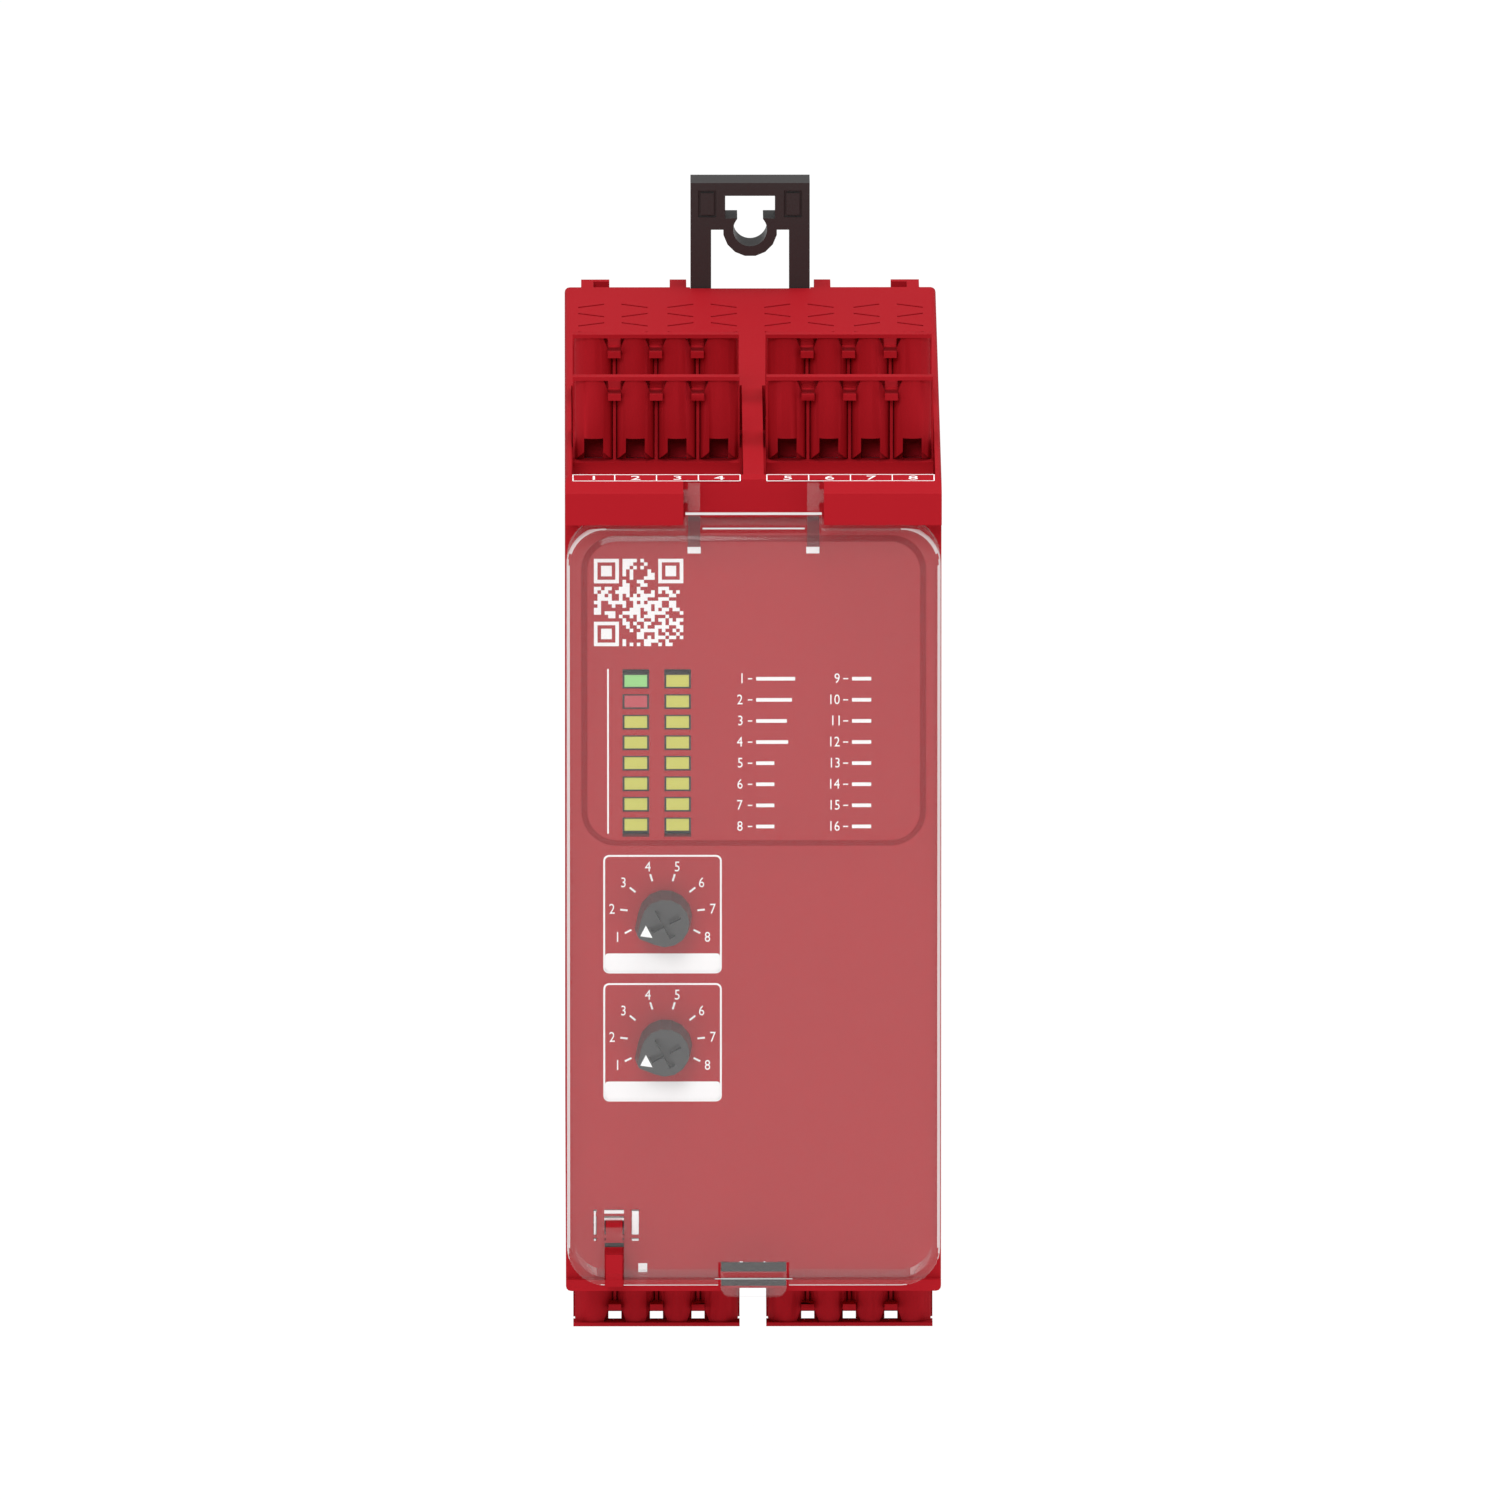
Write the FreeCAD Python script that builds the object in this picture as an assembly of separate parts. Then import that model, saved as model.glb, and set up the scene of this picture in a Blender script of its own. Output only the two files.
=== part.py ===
import FreeCAD, Part
import math
import os

# Safety relay in a 45 mm wide housing for a 35 mm top-hat rail, in millimetres.
# X runs across the width, +Y to the rear, +Z up.  The origin is the centre of
# the rail seat on the back.  Sizes named *_DEPTH_* or *_IN count from the
# foremost plane of the housing towards the rear.

V = FreeCAD.Vector
os.makedirs("parts", exist_ok=True)

# ---- housing ---------------------------------------------------------------
CASE_HEIGHT = 100.0
CASE_DEPTH = 113.7            # foremost plane to the rail seat
CASE_CORNER = 0.6             # rounding of the long edges
WALL = 2.0
PANEL_IN = 6.0                # the front panel lies behind the cover
CHIN_IN = 5.0                 # strip below the cover
BROW_DROP = 1.07              # front edge of the brow below the top face
BROW_LEDGE = 6.1              # length of the sloped label ledge on the brow
BASE_FLANGE = 3.0             # rear base, from its seam to the rail seat
SEAT_RAISE = 0.5              # seat pad above the rest of the base
SEAT_MARGIN = 2.5             # seat pad inside the sides of the base
SEAT_HALF_TALL = 14.0
BASE_SPIGOT = 3.0             # rim of the base inside the housing
FIT = 0.15                    # clearance round a piece that is pushed in

# ---- terminal troughs, mirrored on the top and the bottom ------------------
POLE_PITCH = 5.0
POLES = 4
RIB_HALF = 1.23               # half the rib between left and right plugs
PLUG_RIB_GAP = 0.37
PLUG_SIDE_GAP = 0.15
THIN_WALL = 0.75              # side wall beside the plugs
TROUGH_DEEP = 5.5
TROUGH_FLOOR = 2.0
LOWER_TROUGH_IN = 8.2         # the lower troughs start behind the panel
TIER_IN = 22.5                # front of the first row of plugs
TIER_PITCH = 24.2
TIERS = 2

# ---- terminal plug ---------------------------------------------------------
PLUG_DEPTH = 8.0
PLUG_TALL = 13.9
SILL_TALL = 3.4               # plain strip below the wire mouths
RIM_THICK = 0.46
RIM_FLAT = 1.5                # flat part of the rim before the rear slope
PLUG_SLOPE = 30.0             # fall of the plug's top towards the rear, deg
TOWER_R = 2.3
TOWER_SETBACK = 0.3
WEB_THICK = 0.36
WEB_SETBACK = 1.6
MOUTH_WIDE = 2.27
MOUTH_TALL = 2.84
FLARE_TALL = 1.16
FLARE_DEEP = 2.6
BRIDGE_WIDE = 1.55            # small bridge between two towers
BRIDGE_TALL = 0.75
BRIDGE_DROP = 1.6             # from the rim down to the bridge
BRIDGE_PROUD = 0.45
WINDOW_DEEP = 4.5             # the opening above each bridge
WINDOW_START = 1.7
BORE_R = 1.4
SCREW_IN = 3.4                # screw axis behind the plug's front
CLAMP_WIDE = 3.2
CLAMP_DEEP = 3.2
CLAMP_TALL = 4.6
CLAMP_SHEET = 0.6
CLAMP_LIFT = 2.4              # clamp above the trough floor
SCREW_HEAD_R = 1.3
SCREW_HEAD_TALL = 1.8
SCREW_SLOT = 0.5
BORE_SIDES = 8
TOWER_SIDES = 12
PIN_THICK = 1.0
HEADER_DEEP = 2.4

# ---- vents -----------------------------------------------------------------
VENT_COLUMNS = (3.25, 8.5, 14.05, 19.3)
VENT_LONG = 3.15
VENT_RISE = 1.9
VENT_SLOT = 0.6
VENT_PITCH = 5.33
VENT_ROWS = 5
VENT_REAR = 11.3              # last row ahead of the rail seat

# ---- front panel -----------------------------------------------------------
LED_FROM_SIDE = (8.41, 13.42)
LED_FROM_TOP = 25.31
LED_PITCH = 2.519
LED_ROWS = 8
LENS_WIDE = 2.7
LENS_TALL = 1.43
LED_SLOT_WIDE = 3.2
LED_SLOT_END = 0.76           # dark gap past the first and last lens
DIAL_FROM_SIDE = 11.9
DIAL_FROM_TOP = (54.06, 69.95)
SHAFT_R = 1.5
SHAFT_HOLE_R = 1.8
HINGE_SLOT_X = 7.15
HINGE_SLOT_WIDE = 1.55
HINGE_SLOT_FROM_TOP = (9.5, 6.6)
LINER_THICK = 0.85
LINER_GAP = 0.05

# ---- selector knob ---------------------------------------------------------
KNOB_GAP = 0.4                # knob above the panel
KNOB_TALL = 4.0
KNOB_BASE_R = 3.24
KNOB_FACE_R = 2.92
KNOB_TIP = 3.95               # axis to the tip of the pointer
KNOB_SIDES = 12
KNOB_TIP_BLUNT = 4.0          # half the blunt tip, seen from the axis, deg
KNOB_SWEEP = 235.0            # first to last position, deg
CROSS_LONG = 3.9
CROSS_WIDE = 0.8
CROSS_DEEP = 1.0
SHAFT_RUN = 0.05
SWITCH_SIZE = 6.6
SWITCH_DEEP = 4.2

# ---- cover -----------------------------------------------------------------
COVER_SIDE_GAP = 0.13         # cover inside the width of the housing
COVER_FROM_TOP = 5.15
COVER_FROM_BOTTOM = 1.6
COVER_CORNER = 4.75
COVER_WALL = 0.9
COVER_GAP = 0.25              # cover rim ahead of the panel
WINDOW_RAISE = 0.3
WINDOW_MARGIN = 1.6           # raised window inside the cover's edge
WINDOW_TALL = 38.3
WINDOW_CORNER = 4.4
SWEEP_GAP = 0.12              # the brow's edge past the top of the opening cover
CORNER_STEPS = 3              # flats that round a corner
ROUND_SIDES = 16              # flats that make a round
HINGE_IN = 2.6
HINGE_DROP = 1.9
HINGE_R = 0.8
HINGE_RUN = 0.06
ARM_R = 1.6
ARM_X = 6.4
ARM_WIDE = 1.45
TONGUE_HALF = 8.15
TONGUE_TALL = 1.75
BROW_NOTCH_HALF = 8.4
BROW_NOTCH_IN = 4.5
PIN_REACH = 1.0               # hinge pin beyond the notch wall
LATCH_HALF = 3.95
LATCH_ABOVE = 3.05            # tab's slits above the cover's lower edge
LATCH_BELOW = 1.29            # tab below the cover's lower edge
LATCH_SLIT = 0.3
LATCH_CORNER = 1.3
HOOK_ABOVE = (0.9, 1.5)       # hook above the cover's lower edge
HOOK_REACH = 1.4              # hook behind the panel's front
HOOK_SLOT_GAP = 0.3

# ---- sealing lug -----------------------------------------------------------
SEAL_FROM_SIDE = (4.63, 6.94)
SEAL_TALL = 8.25              # notch above the cover's lower edge
SEAL_GAP = 0.15
STRAP_ABOVE = (4.8, 6.8)      # strap above the cover's lower edge
SEAL_FACE_IN = 0.4
SEAL_STEP_IN = 4.6
SEAL_STEP = 3.9               # step above the cover's lower edge
SEAL_CHAMFER = 1.0
SEAL_FACE_TALL = 2.3
SEAL_HOLE_R = 0.7
SEAL_FRAME_SIDE = (3.3, 8.77)
SEAL_FRAME_ABOVE = (4.4, 8.2)
FRAME_BAR = 0.94
FRAME_BAR_TALL = 0.4
FRAME_BAR_DEEP = 0.4
FRAME_BAR_LAP = 0.3           # bars run onto the panel beyond the frame
SEAL_TOP_DROP = 1.35          # lug's top below the top of the notch
SEAL_HOLE_IN = 2.2
PEEP_FROM_SIDE = (8.68, 9.75)
PEEP_ABOVE = (0.5, 1.6)

# ---- rear ribs and rail hooks ----------------------------------------------
RIB_OUT = 4.0                 # ribs behind the rail seat
RAIL_HEIGHT = 35.0
RAIL_SHEET = 1.0
RAIL_GAP = 0.4
HOOK_LIP = 1.4
OUTER_RIB_FROM_SIDE = (5.43, 2.0)
INNER_RIB_THICK = 2.01
RIB_POCKET_WIDE = 1.93
RIB_POCKET_SKIN = 1.2
RIB_POCKET_TALL = 6.0

# ---- fixing lug ------------------------------------------------------------
LUG_HALF = 7.23
LUG_THICK = 4.9
LUG_OUT = 13.0                # end of the lug beyond the housing when pulled out
LUG_LEG = 2.5
LUG_BAR = 1.6
T_HALF = 3.02
T_TALL = 2.8
NECK_HALF = 1.56
LUG_HOLE_R = 2.05
LUG_HOLE_BELOW = 5.8          # hole axis from the lug's end
LUG_RING_R = 3.24
LUG_PAD = (1.6, 2.7, 0.35)    # grip pad: width, height, depth of its recess
LUG_PAD_CENTRE = (5.2, 2.6)   # from the middle, and from the end of the lug
LUG_RUN = 0.3
LUG_RIB_GAP = 0.51            # beside the lug, between the inner ribs
TENON = 1.15                  # side tenon of a leg in the groove of a rib
TENON_DEEP = 2.0
TENON_LONG = 17.0
GROOVE_CAP = 1.8              # closed end of the grooves

# ---- rail latch ------------------------------------------------------------
NOSE_TALL = 4.1
LATCH_FOOT = 4.0              # pull bar below the housing
LATCH_SLOT = (5.0, 1.6)       # screwdriver slot: width and height
SPRING_LONG = 10.0
SPRING_HALF = 2.6
SPRING_STRIP = 0.4
SPRING_FOLDS = 6
SPRING_DEEP = 2.0
STOP_TALL = 3.0               # stop on the base that carries the spring

# ---- inner parts -----------------------------------------------------------
BOARD_THICK = 1.6
BOARD_GAP = 1.0
FRONT_BOARD_IN = 15.0
SIDE_BOARD_GAP = 0.9
RELAY_SIZE = (13.0, 28.0, 15.0)
RELAY_PITCH_Z = 19.0
CHIP = 1.2

# ---- places that follow from the sizes -------------------------------------
PLUG_WIDE = POLE_PITCH * POLES
PLUG_CENTRE_X = RIB_HALF + PLUG_RIB_GAP + PLUG_WIDE / 2
HALF_W = PLUG_CENTRE_X + PLUG_WIDE / 2 + PLUG_SIDE_GAP + THIN_WALL
CASE_WIDTH = 2 * HALF_W
HALF_H = CASE_HEIGHT / 2
TROUGH_Z = HALF_H - TROUGH_DEEP
TROUGH_X = (RIB_HALF, HALF_W - THIN_WALL)
TROUGH_END = TIER_IN + (TIERS - 1) * TIER_PITCH + PLUG_DEPTH + WALL
RELAY_IN = TROUGH_END + WALL + BOARD_GAP
CAVITY_LOW_Z = TROUGH_Z - TROUGH_FLOOR
SIDE_BOARD_X = HALF_W - WALL - SIDE_BOARD_GAP - BOARD_THICK
HINGE_Z = HALF_H - HINGE_DROP
RAIL_EDGE = RAIL_HEIGHT / 2 + RAIL_GAP
LUG_FRONT = RIB_OUT - LUG_THICK
SLIDE_MIDDLE = RIB_OUT - LUG_THICK / 2
COVER_TOP_Z = HALF_H - COVER_FROM_TOP
COVER_BOTTOM_Z = COVER_FROM_BOTTOM - HALF_H
COVER_HALF = HALF_W - COVER_SIDE_GAP
BROW_BOTTOM = COVER_TOP_Z + COVER_GAP
CHIN_TOP = COVER_BOTTOM_Z - COVER_GAP
LATCH_TOP_Z = COVER_BOTTOM_Z + LATCH_ABOVE
LATCH_BOTTOM_Z = COVER_BOTTOM_Z - LATCH_BELOW
HOOK_Z = tuple(COVER_BOTTOM_Z + v for v in HOOK_ABOVE)
SEAL_X = tuple(v - HALF_W for v in SEAL_FROM_SIDE)
SEAL_TOP_Z = COVER_BOTTOM_Z + SEAL_TALL
STRAP_Z = tuple(COVER_BOTTOM_Z + v for v in STRAP_ABOVE)
SEAL_STEP_Z = COVER_BOTTOM_Z + SEAL_STEP
SEAL_FRAME_X = tuple(v - HALF_W for v in SEAL_FRAME_SIDE)
SEAL_FRAME_Z = tuple(COVER_BOTTOM_Z + v for v in SEAL_FRAME_ABOVE)
PEEP_X = tuple(v - HALF_W for v in PEEP_FROM_SIDE)
PEEP_Z = tuple(COVER_BOTTOM_Z + v for v in PEEP_ABOVE)
OUTER_RIB_X = tuple(HALF_W - v for v in OUTER_RIB_FROM_SIDE)
INNER_RIB_X = (LUG_HALF + LUG_RIB_GAP, LUG_HALF + LUG_RIB_GAP + INNER_RIB_THICK)
DIAL_X = DIAL_FROM_SIDE - HALF_W
DIAL_Z = tuple(HALF_H - v for v in DIAL_FROM_TOP)
HINGE_SLOT_Z = tuple(HALF_H - v for v in HINGE_SLOT_FROM_TOP)
KNOB_FACE_IN = PANEL_IN - KNOB_GAP - KNOB_TALL
LED_X = tuple(v - HALF_W for v in LED_FROM_SIDE)
LED_TOP_Z = HALF_H - LED_FROM_TOP
LED_MID_Z = LED_TOP_Z - LED_PITCH * (LED_ROWS - 1) / 2
LED_SLOT_TALL = LED_PITCH * (LED_ROWS - 1) + LENS_TALL + 2 * LED_SLOT_END
KNOB_FIRST = 90 + KNOB_SWEEP / 2         # first position, counter-clockwise from +X


def at(depth):
    """Y of a plane that lies this far behind the foremost plane."""
    return depth - CASE_DEPTH


def box(x0, x1, y0, y1, z0, z1):
    return Part.makeBox(x1 - x0, y1 - y0, z1 - z0, V(x0, y0, z0))


def rod(radius, start, end):
    line = end.sub(start)
    return Part.makeCylinder(radius, line.Length, start, line)


def faceted_rod(radius, sides, start, end):
    """Rod with flat sides for small rounds; the radius runs to the flats."""
    line = end.sub(start)
    across = V(0, 0, 1) if abs(line.z) < 1e-6 else V(1, 0, 0)
    upright = line.cross(across).normalize()
    reach = radius / math.cos(math.pi / sides)
    turns = [2 * math.pi * (i + 0.5) / sides for i in range(sides)]
    ring = [start + across * (reach * math.cos(t)) + upright * (reach * math.sin(t)) for t in turns]
    return prism(ring, line)


def prism(points, sweep):
    """Solid from a closed outline swept along a vector."""
    wire = Part.makePolygon(list(points) + [points[0]])
    return Part.Face(wire).extrude(sweep)


def slab(x0, x1, z0, z1, radius, y0, y1):
    """Plate in the XZ plane with corners rounded in short flats, from y0 to y1."""
    if radius <= 0:
        return box(x0, x1, y0, y1, z0, z1)
    middles = ((x1 - radius, z1 - radius), (x0 + radius, z1 - radius), (x0 + radius, z0 + radius),
               (x1 - radius, z0 + radius))
    outline = []
    for quarter, (x, z) in enumerate(middles):
        for step in range(CORNER_STEPS + 1):
            turn = math.pi / 2 * (quarter + step / CORNER_STEPS)
            outline.append(V(x + radius * math.cos(turn), y0, z + radius * math.sin(turn)))
    return prism(outline, V(0, y1 - y0, 0))


def fused(shapes):
    first = shapes[0]
    rest = shapes[1:]
    return first.fuse(rest).removeSplitter() if rest else first


def upside_down(shape):
    return shape.mirror(V(0, 0, 0), V(0, 0, 1))


def left_right(shape):
    return shape.mirror(V(0, 0, 0), V(1, 0, 0))


def export(name, shape):
    shape.exportStep("parts/" + name + ".step")


# ---- housing shell ---------------------------------------------------------
def trough_cut(front_in):
    """Both troughs of one side, with the slots for the pin headers."""
    cuts = []
    for side in (-1, 1):
        x0, x1 = sorted((side * TROUGH_X[0], side * TROUGH_X[1]))
        cuts.append(box(x0, x1, at(front_in), at(TROUGH_END), TROUGH_Z, HALF_H + 1))
    for tier in tier_ins():
        for side in (-1, 1):
            cuts.append(header_block(side, tier, CAVITY_LOW_Z - 1, TROUGH_Z + 1))
    return cuts


def header_block(side, tier, z0, z1):
    """Strip of the pin header, which fills a slot in the trough floor."""
    half = POLE_PITCH * (POLES - 1) / 2 + PIN_THICK
    middle = side * PLUG_CENTRE_X
    y = at(tier + SCREW_IN)
    return box(middle - half, middle + half, y - HEADER_DEEP / 2, y + HEADER_DEEP / 2, z0, z1)


def pole_xs(side):
    first = side * PLUG_CENTRE_X - POLE_PITCH * (POLES - 1) / 2
    return [first + POLE_PITCH * i for i in range(POLES)]


def tier_ins():
    return [TIER_IN + TIER_PITCH * i for i in range(TIERS)]


def vent_cuts():
    """Louvre slots that slant to alternate sides."""
    cuts = []
    for column, x in enumerate(sorted([-v for v in VENT_COLUMNS] + list(VENT_COLUMNS))):
        for row in range(VENT_ROWS):
            y = -VENT_REAR - VENT_PITCH * row
            flip = 1 if (row + column) % 2 == 0 else -1
            low_z = HALF_H - WALL - 1
            front = [V(x + flip * end * VENT_LONG / 2, y + end * VENT_RISE / 2 - VENT_SLOT / 2, low_z)
                     for end in (-1, 1)]
            back = [p.add(V(0, VENT_SLOT, 0)) for p in reversed(front)]
            cuts.append(prism(front + back, V(0, 0, WALL + 2)))
    return cuts


def sealing_lug():
    """Stepped lug for a seal wire, with the frame bars beside it."""
    x0 = SEAL_X[0] + SEAL_GAP
    x1 = SEAL_X[1] - SEAL_GAP
    face_end = SEAL_STEP_Z - SEAL_FACE_TALL
    lug_top = SEAL_TOP_Z - SEAL_TOP_DROP
    side = [
        (PANEL_IN + WALL / 2, lug_top),
        (SEAL_STEP_IN, lug_top),
        (SEAL_STEP_IN, SEAL_STEP_Z),
        (SEAL_FACE_IN, SEAL_STEP_Z),
        (SEAL_FACE_IN, face_end),
        (SEAL_FACE_IN + SEAL_CHAMFER, face_end - SEAL_CHAMFER),
        (SEAL_FACE_IN + SEAL_CHAMFER, CHIN_TOP),
        (PANEL_IN + WALL / 2, CHIN_TOP),
    ]
    lug = prism([V(x0, at(d), z) for d, z in side], V(x1 - x0, 0, 0))
    middle = V(x0 - 1, at(SEAL_FACE_IN + SEAL_HOLE_IN), SEAL_STEP_Z - SEAL_FACE_TALL / 2)
    lug = lug.cut(faceted_rod(SEAL_HOLE_R, BORE_SIDES, middle, middle.add(V(x1 - x0 + 2, 0, 0))))
    y0 = at(PANEL_IN)
    y1 = at(PANEL_IN + FRAME_BAR_DEEP)
    z0 = SEAL_FRAME_Z[0] - FRAME_BAR_LAP
    z1 = SEAL_FRAME_Z[1] + FRAME_BAR_LAP
    bars = [box(x, x + FRAME_BAR, y0, y1, z0, z1) for x in (SEAL_X[0] - FRAME_BAR, SEAL_X[1])]
    x0 = SEAL_FRAME_X[0] - FRAME_BAR_LAP
    x1 = SEAL_FRAME_X[1] + FRAME_BAR_LAP
    bars += [box(x0, x1, y0, y1, z, z + FRAME_BAR_TALL) for z in
             (SEAL_FRAME_Z[0] + FRAME_BAR_LAP, SEAL_FRAME_Z[1] - 2 * FRAME_BAR_TALL)]
    return [lug] + bars


def panel_cuts():
    """Openings of the front panel."""
    y0 = at(PANEL_IN - 1)
    y1 = at(PANEL_IN + WALL + 0.5)
    half = LED_SLOT_WIDE / 2
    cuts = [box(x - half, x + half, y0, y1, LED_MID_Z - LED_SLOT_TALL / 2, LED_MID_Z + LED_SLOT_TALL / 2)
            for x in LED_X]
    cuts += [faceted_rod(SHAFT_HOLE_R, ROUND_SIDES, V(DIAL_X, y0, z), V(DIAL_X, y1, z)) for z in DIAL_Z]
    half = HINGE_SLOT_WIDE / 2
    cuts += [box(x - half, x + half, y0, y1, *HINGE_SLOT_Z) for x in (-HINGE_SLOT_X, HINGE_SLOT_X)]
    cuts.append(box(*SEAL_FRAME_X, y0, y1, *SEAL_FRAME_Z))
    cuts.append(box(*PEEP_X, y0, y1, *PEEP_Z))
    cuts.append(box(-LATCH_HALF, LATCH_HALF, y0, y1, HOOK_Z[0] - HOOK_SLOT_GAP, HOOK_Z[1] + HOOK_SLOT_GAP))
    cuts.append(box(-LATCH_HALF, LATCH_HALF, at(CHIN_IN - 1), at(CHIN_IN + 1.6), -HALF_H - 1, CHIN_TOP))
    return cuts


def brow_cuts():
    """Notch for the hinge arms and the two pin holes in its walls."""
    notch = box(-BROW_NOTCH_HALF, BROW_NOTCH_HALF, at(-1), at(BROW_NOTCH_IN), BROW_BOTTOM - 1, HALF_H + 1)
    reach = BROW_NOTCH_HALF + PIN_REACH + 0.2
    axis = faceted_rod(HINGE_R + HINGE_RUN, ROUND_SIDES, V(-reach, at(HINGE_IN), HINGE_Z),
                       V(reach, at(HINGE_IN), HINGE_Z))
    return [notch, axis]


def housing_shell():
    seam = -BASE_FLANGE
    side = [
        V(-HALF_W, seam, HALF_H),
        V(-HALF_W, at(BROW_LEDGE), HALF_H),
        V(-HALF_W, at(0), HALF_H - BROW_DROP),
        V(-HALF_W, at(0), BROW_BOTTOM),
        V(-HALF_W, at(PANEL_IN), BROW_BOTTOM),
        V(-HALF_W, at(PANEL_IN), CHIN_TOP),
        V(-HALF_W, at(CHIN_IN), CHIN_TOP),
        V(-HALF_W, at(CHIN_IN), -HALF_H),
        V(-HALF_W, seam, -HALF_H),
    ]
    outline = slab(-HALF_W, HALF_W, -HALF_H, HALF_H, CASE_CORNER, at(0), seam)
    body = prism(side, V(CASE_WIDTH, 0, 0)).common(outline)
    inner_x = HALF_W - WALL
    narrow = box(-inner_x, inner_x, at(PANEL_IN + WALL), at(TROUGH_END + WALL), -CAVITY_LOW_Z, CAVITY_LOW_Z)
    wide_z = HALF_H - WALL
    wide = box(-inner_x, inner_x, at(TROUGH_END + WALL) - 0.5, seam + 1, -wide_z, wide_z)
    cuts = [narrow, wide] + trough_cut(BROW_LEDGE) + brow_cuts() + panel_cuts()
    cuts += [upside_down(c) for c in trough_cut(LOWER_TROUGH_IN)]
    vents = vent_cuts()
    cuts += vents + [upside_down(c) for c in vents]
    body = body.cut(cuts)
    return fused([body] + sealing_lug())


# ---- rear base -------------------------------------------------------------
def rear_rib(x0, x1, hooked):
    """Upright rib above the rail, with a lip over the rail's edge if hooked."""
    rib = box(x0, x1, -SEAT_RAISE, RIB_OUT, RAIL_EDGE, HALF_H)
    if hooked:
        lip = box(x0, x1, RAIL_SHEET + RAIL_GAP, RIB_OUT, RAIL_EDGE - HOOK_LIP, RAIL_EDGE)
        rib = rib.fuse(lip)
    return rib


def rib_set(hooked):
    ribs = []
    for x0, x1 in (OUTER_RIB_X, INNER_RIB_X):
        rib = rear_rib(x0, x1, hooked)
        ribs += [rib, left_right(rib)]
    pocket = box(OUTER_RIB_X[0] - 1, OUTER_RIB_X[0] + RIB_POCKET_WIDE, -SEAT_RAISE, RIB_OUT - RIB_POCKET_SKIN,
                 HALF_H - RIB_POCKET_TALL, HALF_H + 1)
    return ribs, [pocket, left_right(pocket)]


def slide_channel():
    """Room for a slide between the inner ribs, with grooves for its tenons."""
    low = RAIL_EDGE - HOOK_LIP - LUG_RUN
    wide = LUG_HALF + 0.06
    channel = box(-wide, wide, LUG_FRONT - LUG_RUN, RIB_OUT + 1, low, HALF_H + 1)
    groove_x = LUG_HALF + TENON + LUG_RUN
    half = (TENON_DEEP + LUG_RUN) / 2
    groove = box(-groove_x, groove_x, SLIDE_MIDDLE - half, SLIDE_MIDDLE + half, low, HALF_H - GROOVE_CAP)
    return [channel, groove]


def rear_base():
    seam = -BASE_FLANGE
    back = -SEAT_RAISE
    flange = slab(-HALF_W, HALF_W, -HALF_H, HALF_H, CASE_CORNER, seam, back)
    seat_half = HALF_W - SEAT_MARGIN
    seat = box(-seat_half, seat_half, back, 0, -SEAT_HALF_TALL, SEAT_HALF_TALL)
    inner_x = HALF_W - WALL - FIT
    inner_z = HALF_H - WALL - FIT
    spigot = box(-inner_x, inner_x, seam - BASE_SPIGOT, seam, -inner_z, inner_z)
    hollow = box(-inner_x + WALL, inner_x - WALL, seam - BASE_SPIGOT - 1, seam, -inner_z + WALL, inner_z - WALL)
    upper, upper_cuts = rib_set(True)
    lower, lower_cuts = rib_set(False)
    base = fused([flange, seat, spigot.cut(hollow)] + upper + [upside_down(r) for r in lower])
    cuts = upper_cuts + [upside_down(c) for c in lower_cuts]
    for cut in slide_channel():
        cuts += [cut, upside_down(cut)]
    stop_top = -(RAIL_EDGE + NOSE_TALL + SPRING_LONG)
    stop = box(-SPRING_HALF, SPRING_HALF, LUG_FRONT - LUG_RUN - 0.2, RIB_OUT - 0.4, stop_top - STOP_TALL, stop_top)
    return base.cut(cuts).fuse(stop)


# ---- slides on the back ----------------------------------------------------
def slide_legs(near, far, tenon_start):
    """Two legs from near to far above the centre, with tenons on their sides."""
    legs = []
    for side in (-1, 1):
        x0, x1 = sorted((side * LUG_HALF, side * (LUG_HALF - LUG_LEG)))
        legs.append(box(x0, x1, LUG_FRONT, RIB_OUT, near, far))
        t0, t1 = sorted((side * (LUG_HALF - 0.1), side * (LUG_HALF + TENON)))
        half = TENON_DEEP / 2
        legs.append(box(t0, t1, SLIDE_MIDDLE - half, SLIDE_MIDDLE + half, tenon_start, tenon_start + TENON_LONG))
    return legs


def fixing_lug():
    """Upper lug, pulled out: a frame with a snap-in ring for an M4 screw."""
    y0 = LUG_FRONT
    y1 = RIB_OUT
    end = HALF_H + LUG_OUT
    tenon_start = HALF_H - GROOVE_CAP - 0.5 - TENON_LONG
    hole_z = end - LUG_HOLE_BELOW
    bar = box(-LUG_HALF, LUG_HALF, y0, y1, hole_z, end)
    ring = faceted_rod(LUG_RING_R, ROUND_SIDES, V(0, y0, hole_z), V(0, y1, hole_z))
    lug = fused([bar, ring] + slide_legs(tenon_start, hole_z, tenon_start))
    t_top = end - LUG_BAR
    t_low = t_top - T_TALL
    inside = math.sqrt(LUG_HOLE_R ** 2 - NECK_HALF ** 2)
    cuts = [
        box(-T_HALF, T_HALF, y0 - 1, y1 + 1, t_low, t_top),
        box(-NECK_HALF, NECK_HALF, y0 - 1, y1 + 1, hole_z + inside - 0.01, t_low + 0.01),
        rod(LUG_HOLE_R, V(0, y0 - 1, hole_z), V(0, y1 + 1, hole_z)),
    ]
    wide, tall, deep = LUG_PAD
    rim = 0.3
    for side in (-1, 1):
        x = side * LUG_PAD_CENTRE[0]
        z = end - LUG_PAD_CENTRE[1]
        groove = box(x - wide / 2 - rim, x + wide / 2 + rim, y0 - 1, y0 + deep, z - tall / 2 - rim,
                     z + tall / 2 + rim)
        cuts.append(groove.cut(box(x - wide / 2, x + wide / 2, y0 - 2, y0 + deep + 1, z - tall / 2, z + tall / 2)))
    return lug.cut(cuts)


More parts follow.
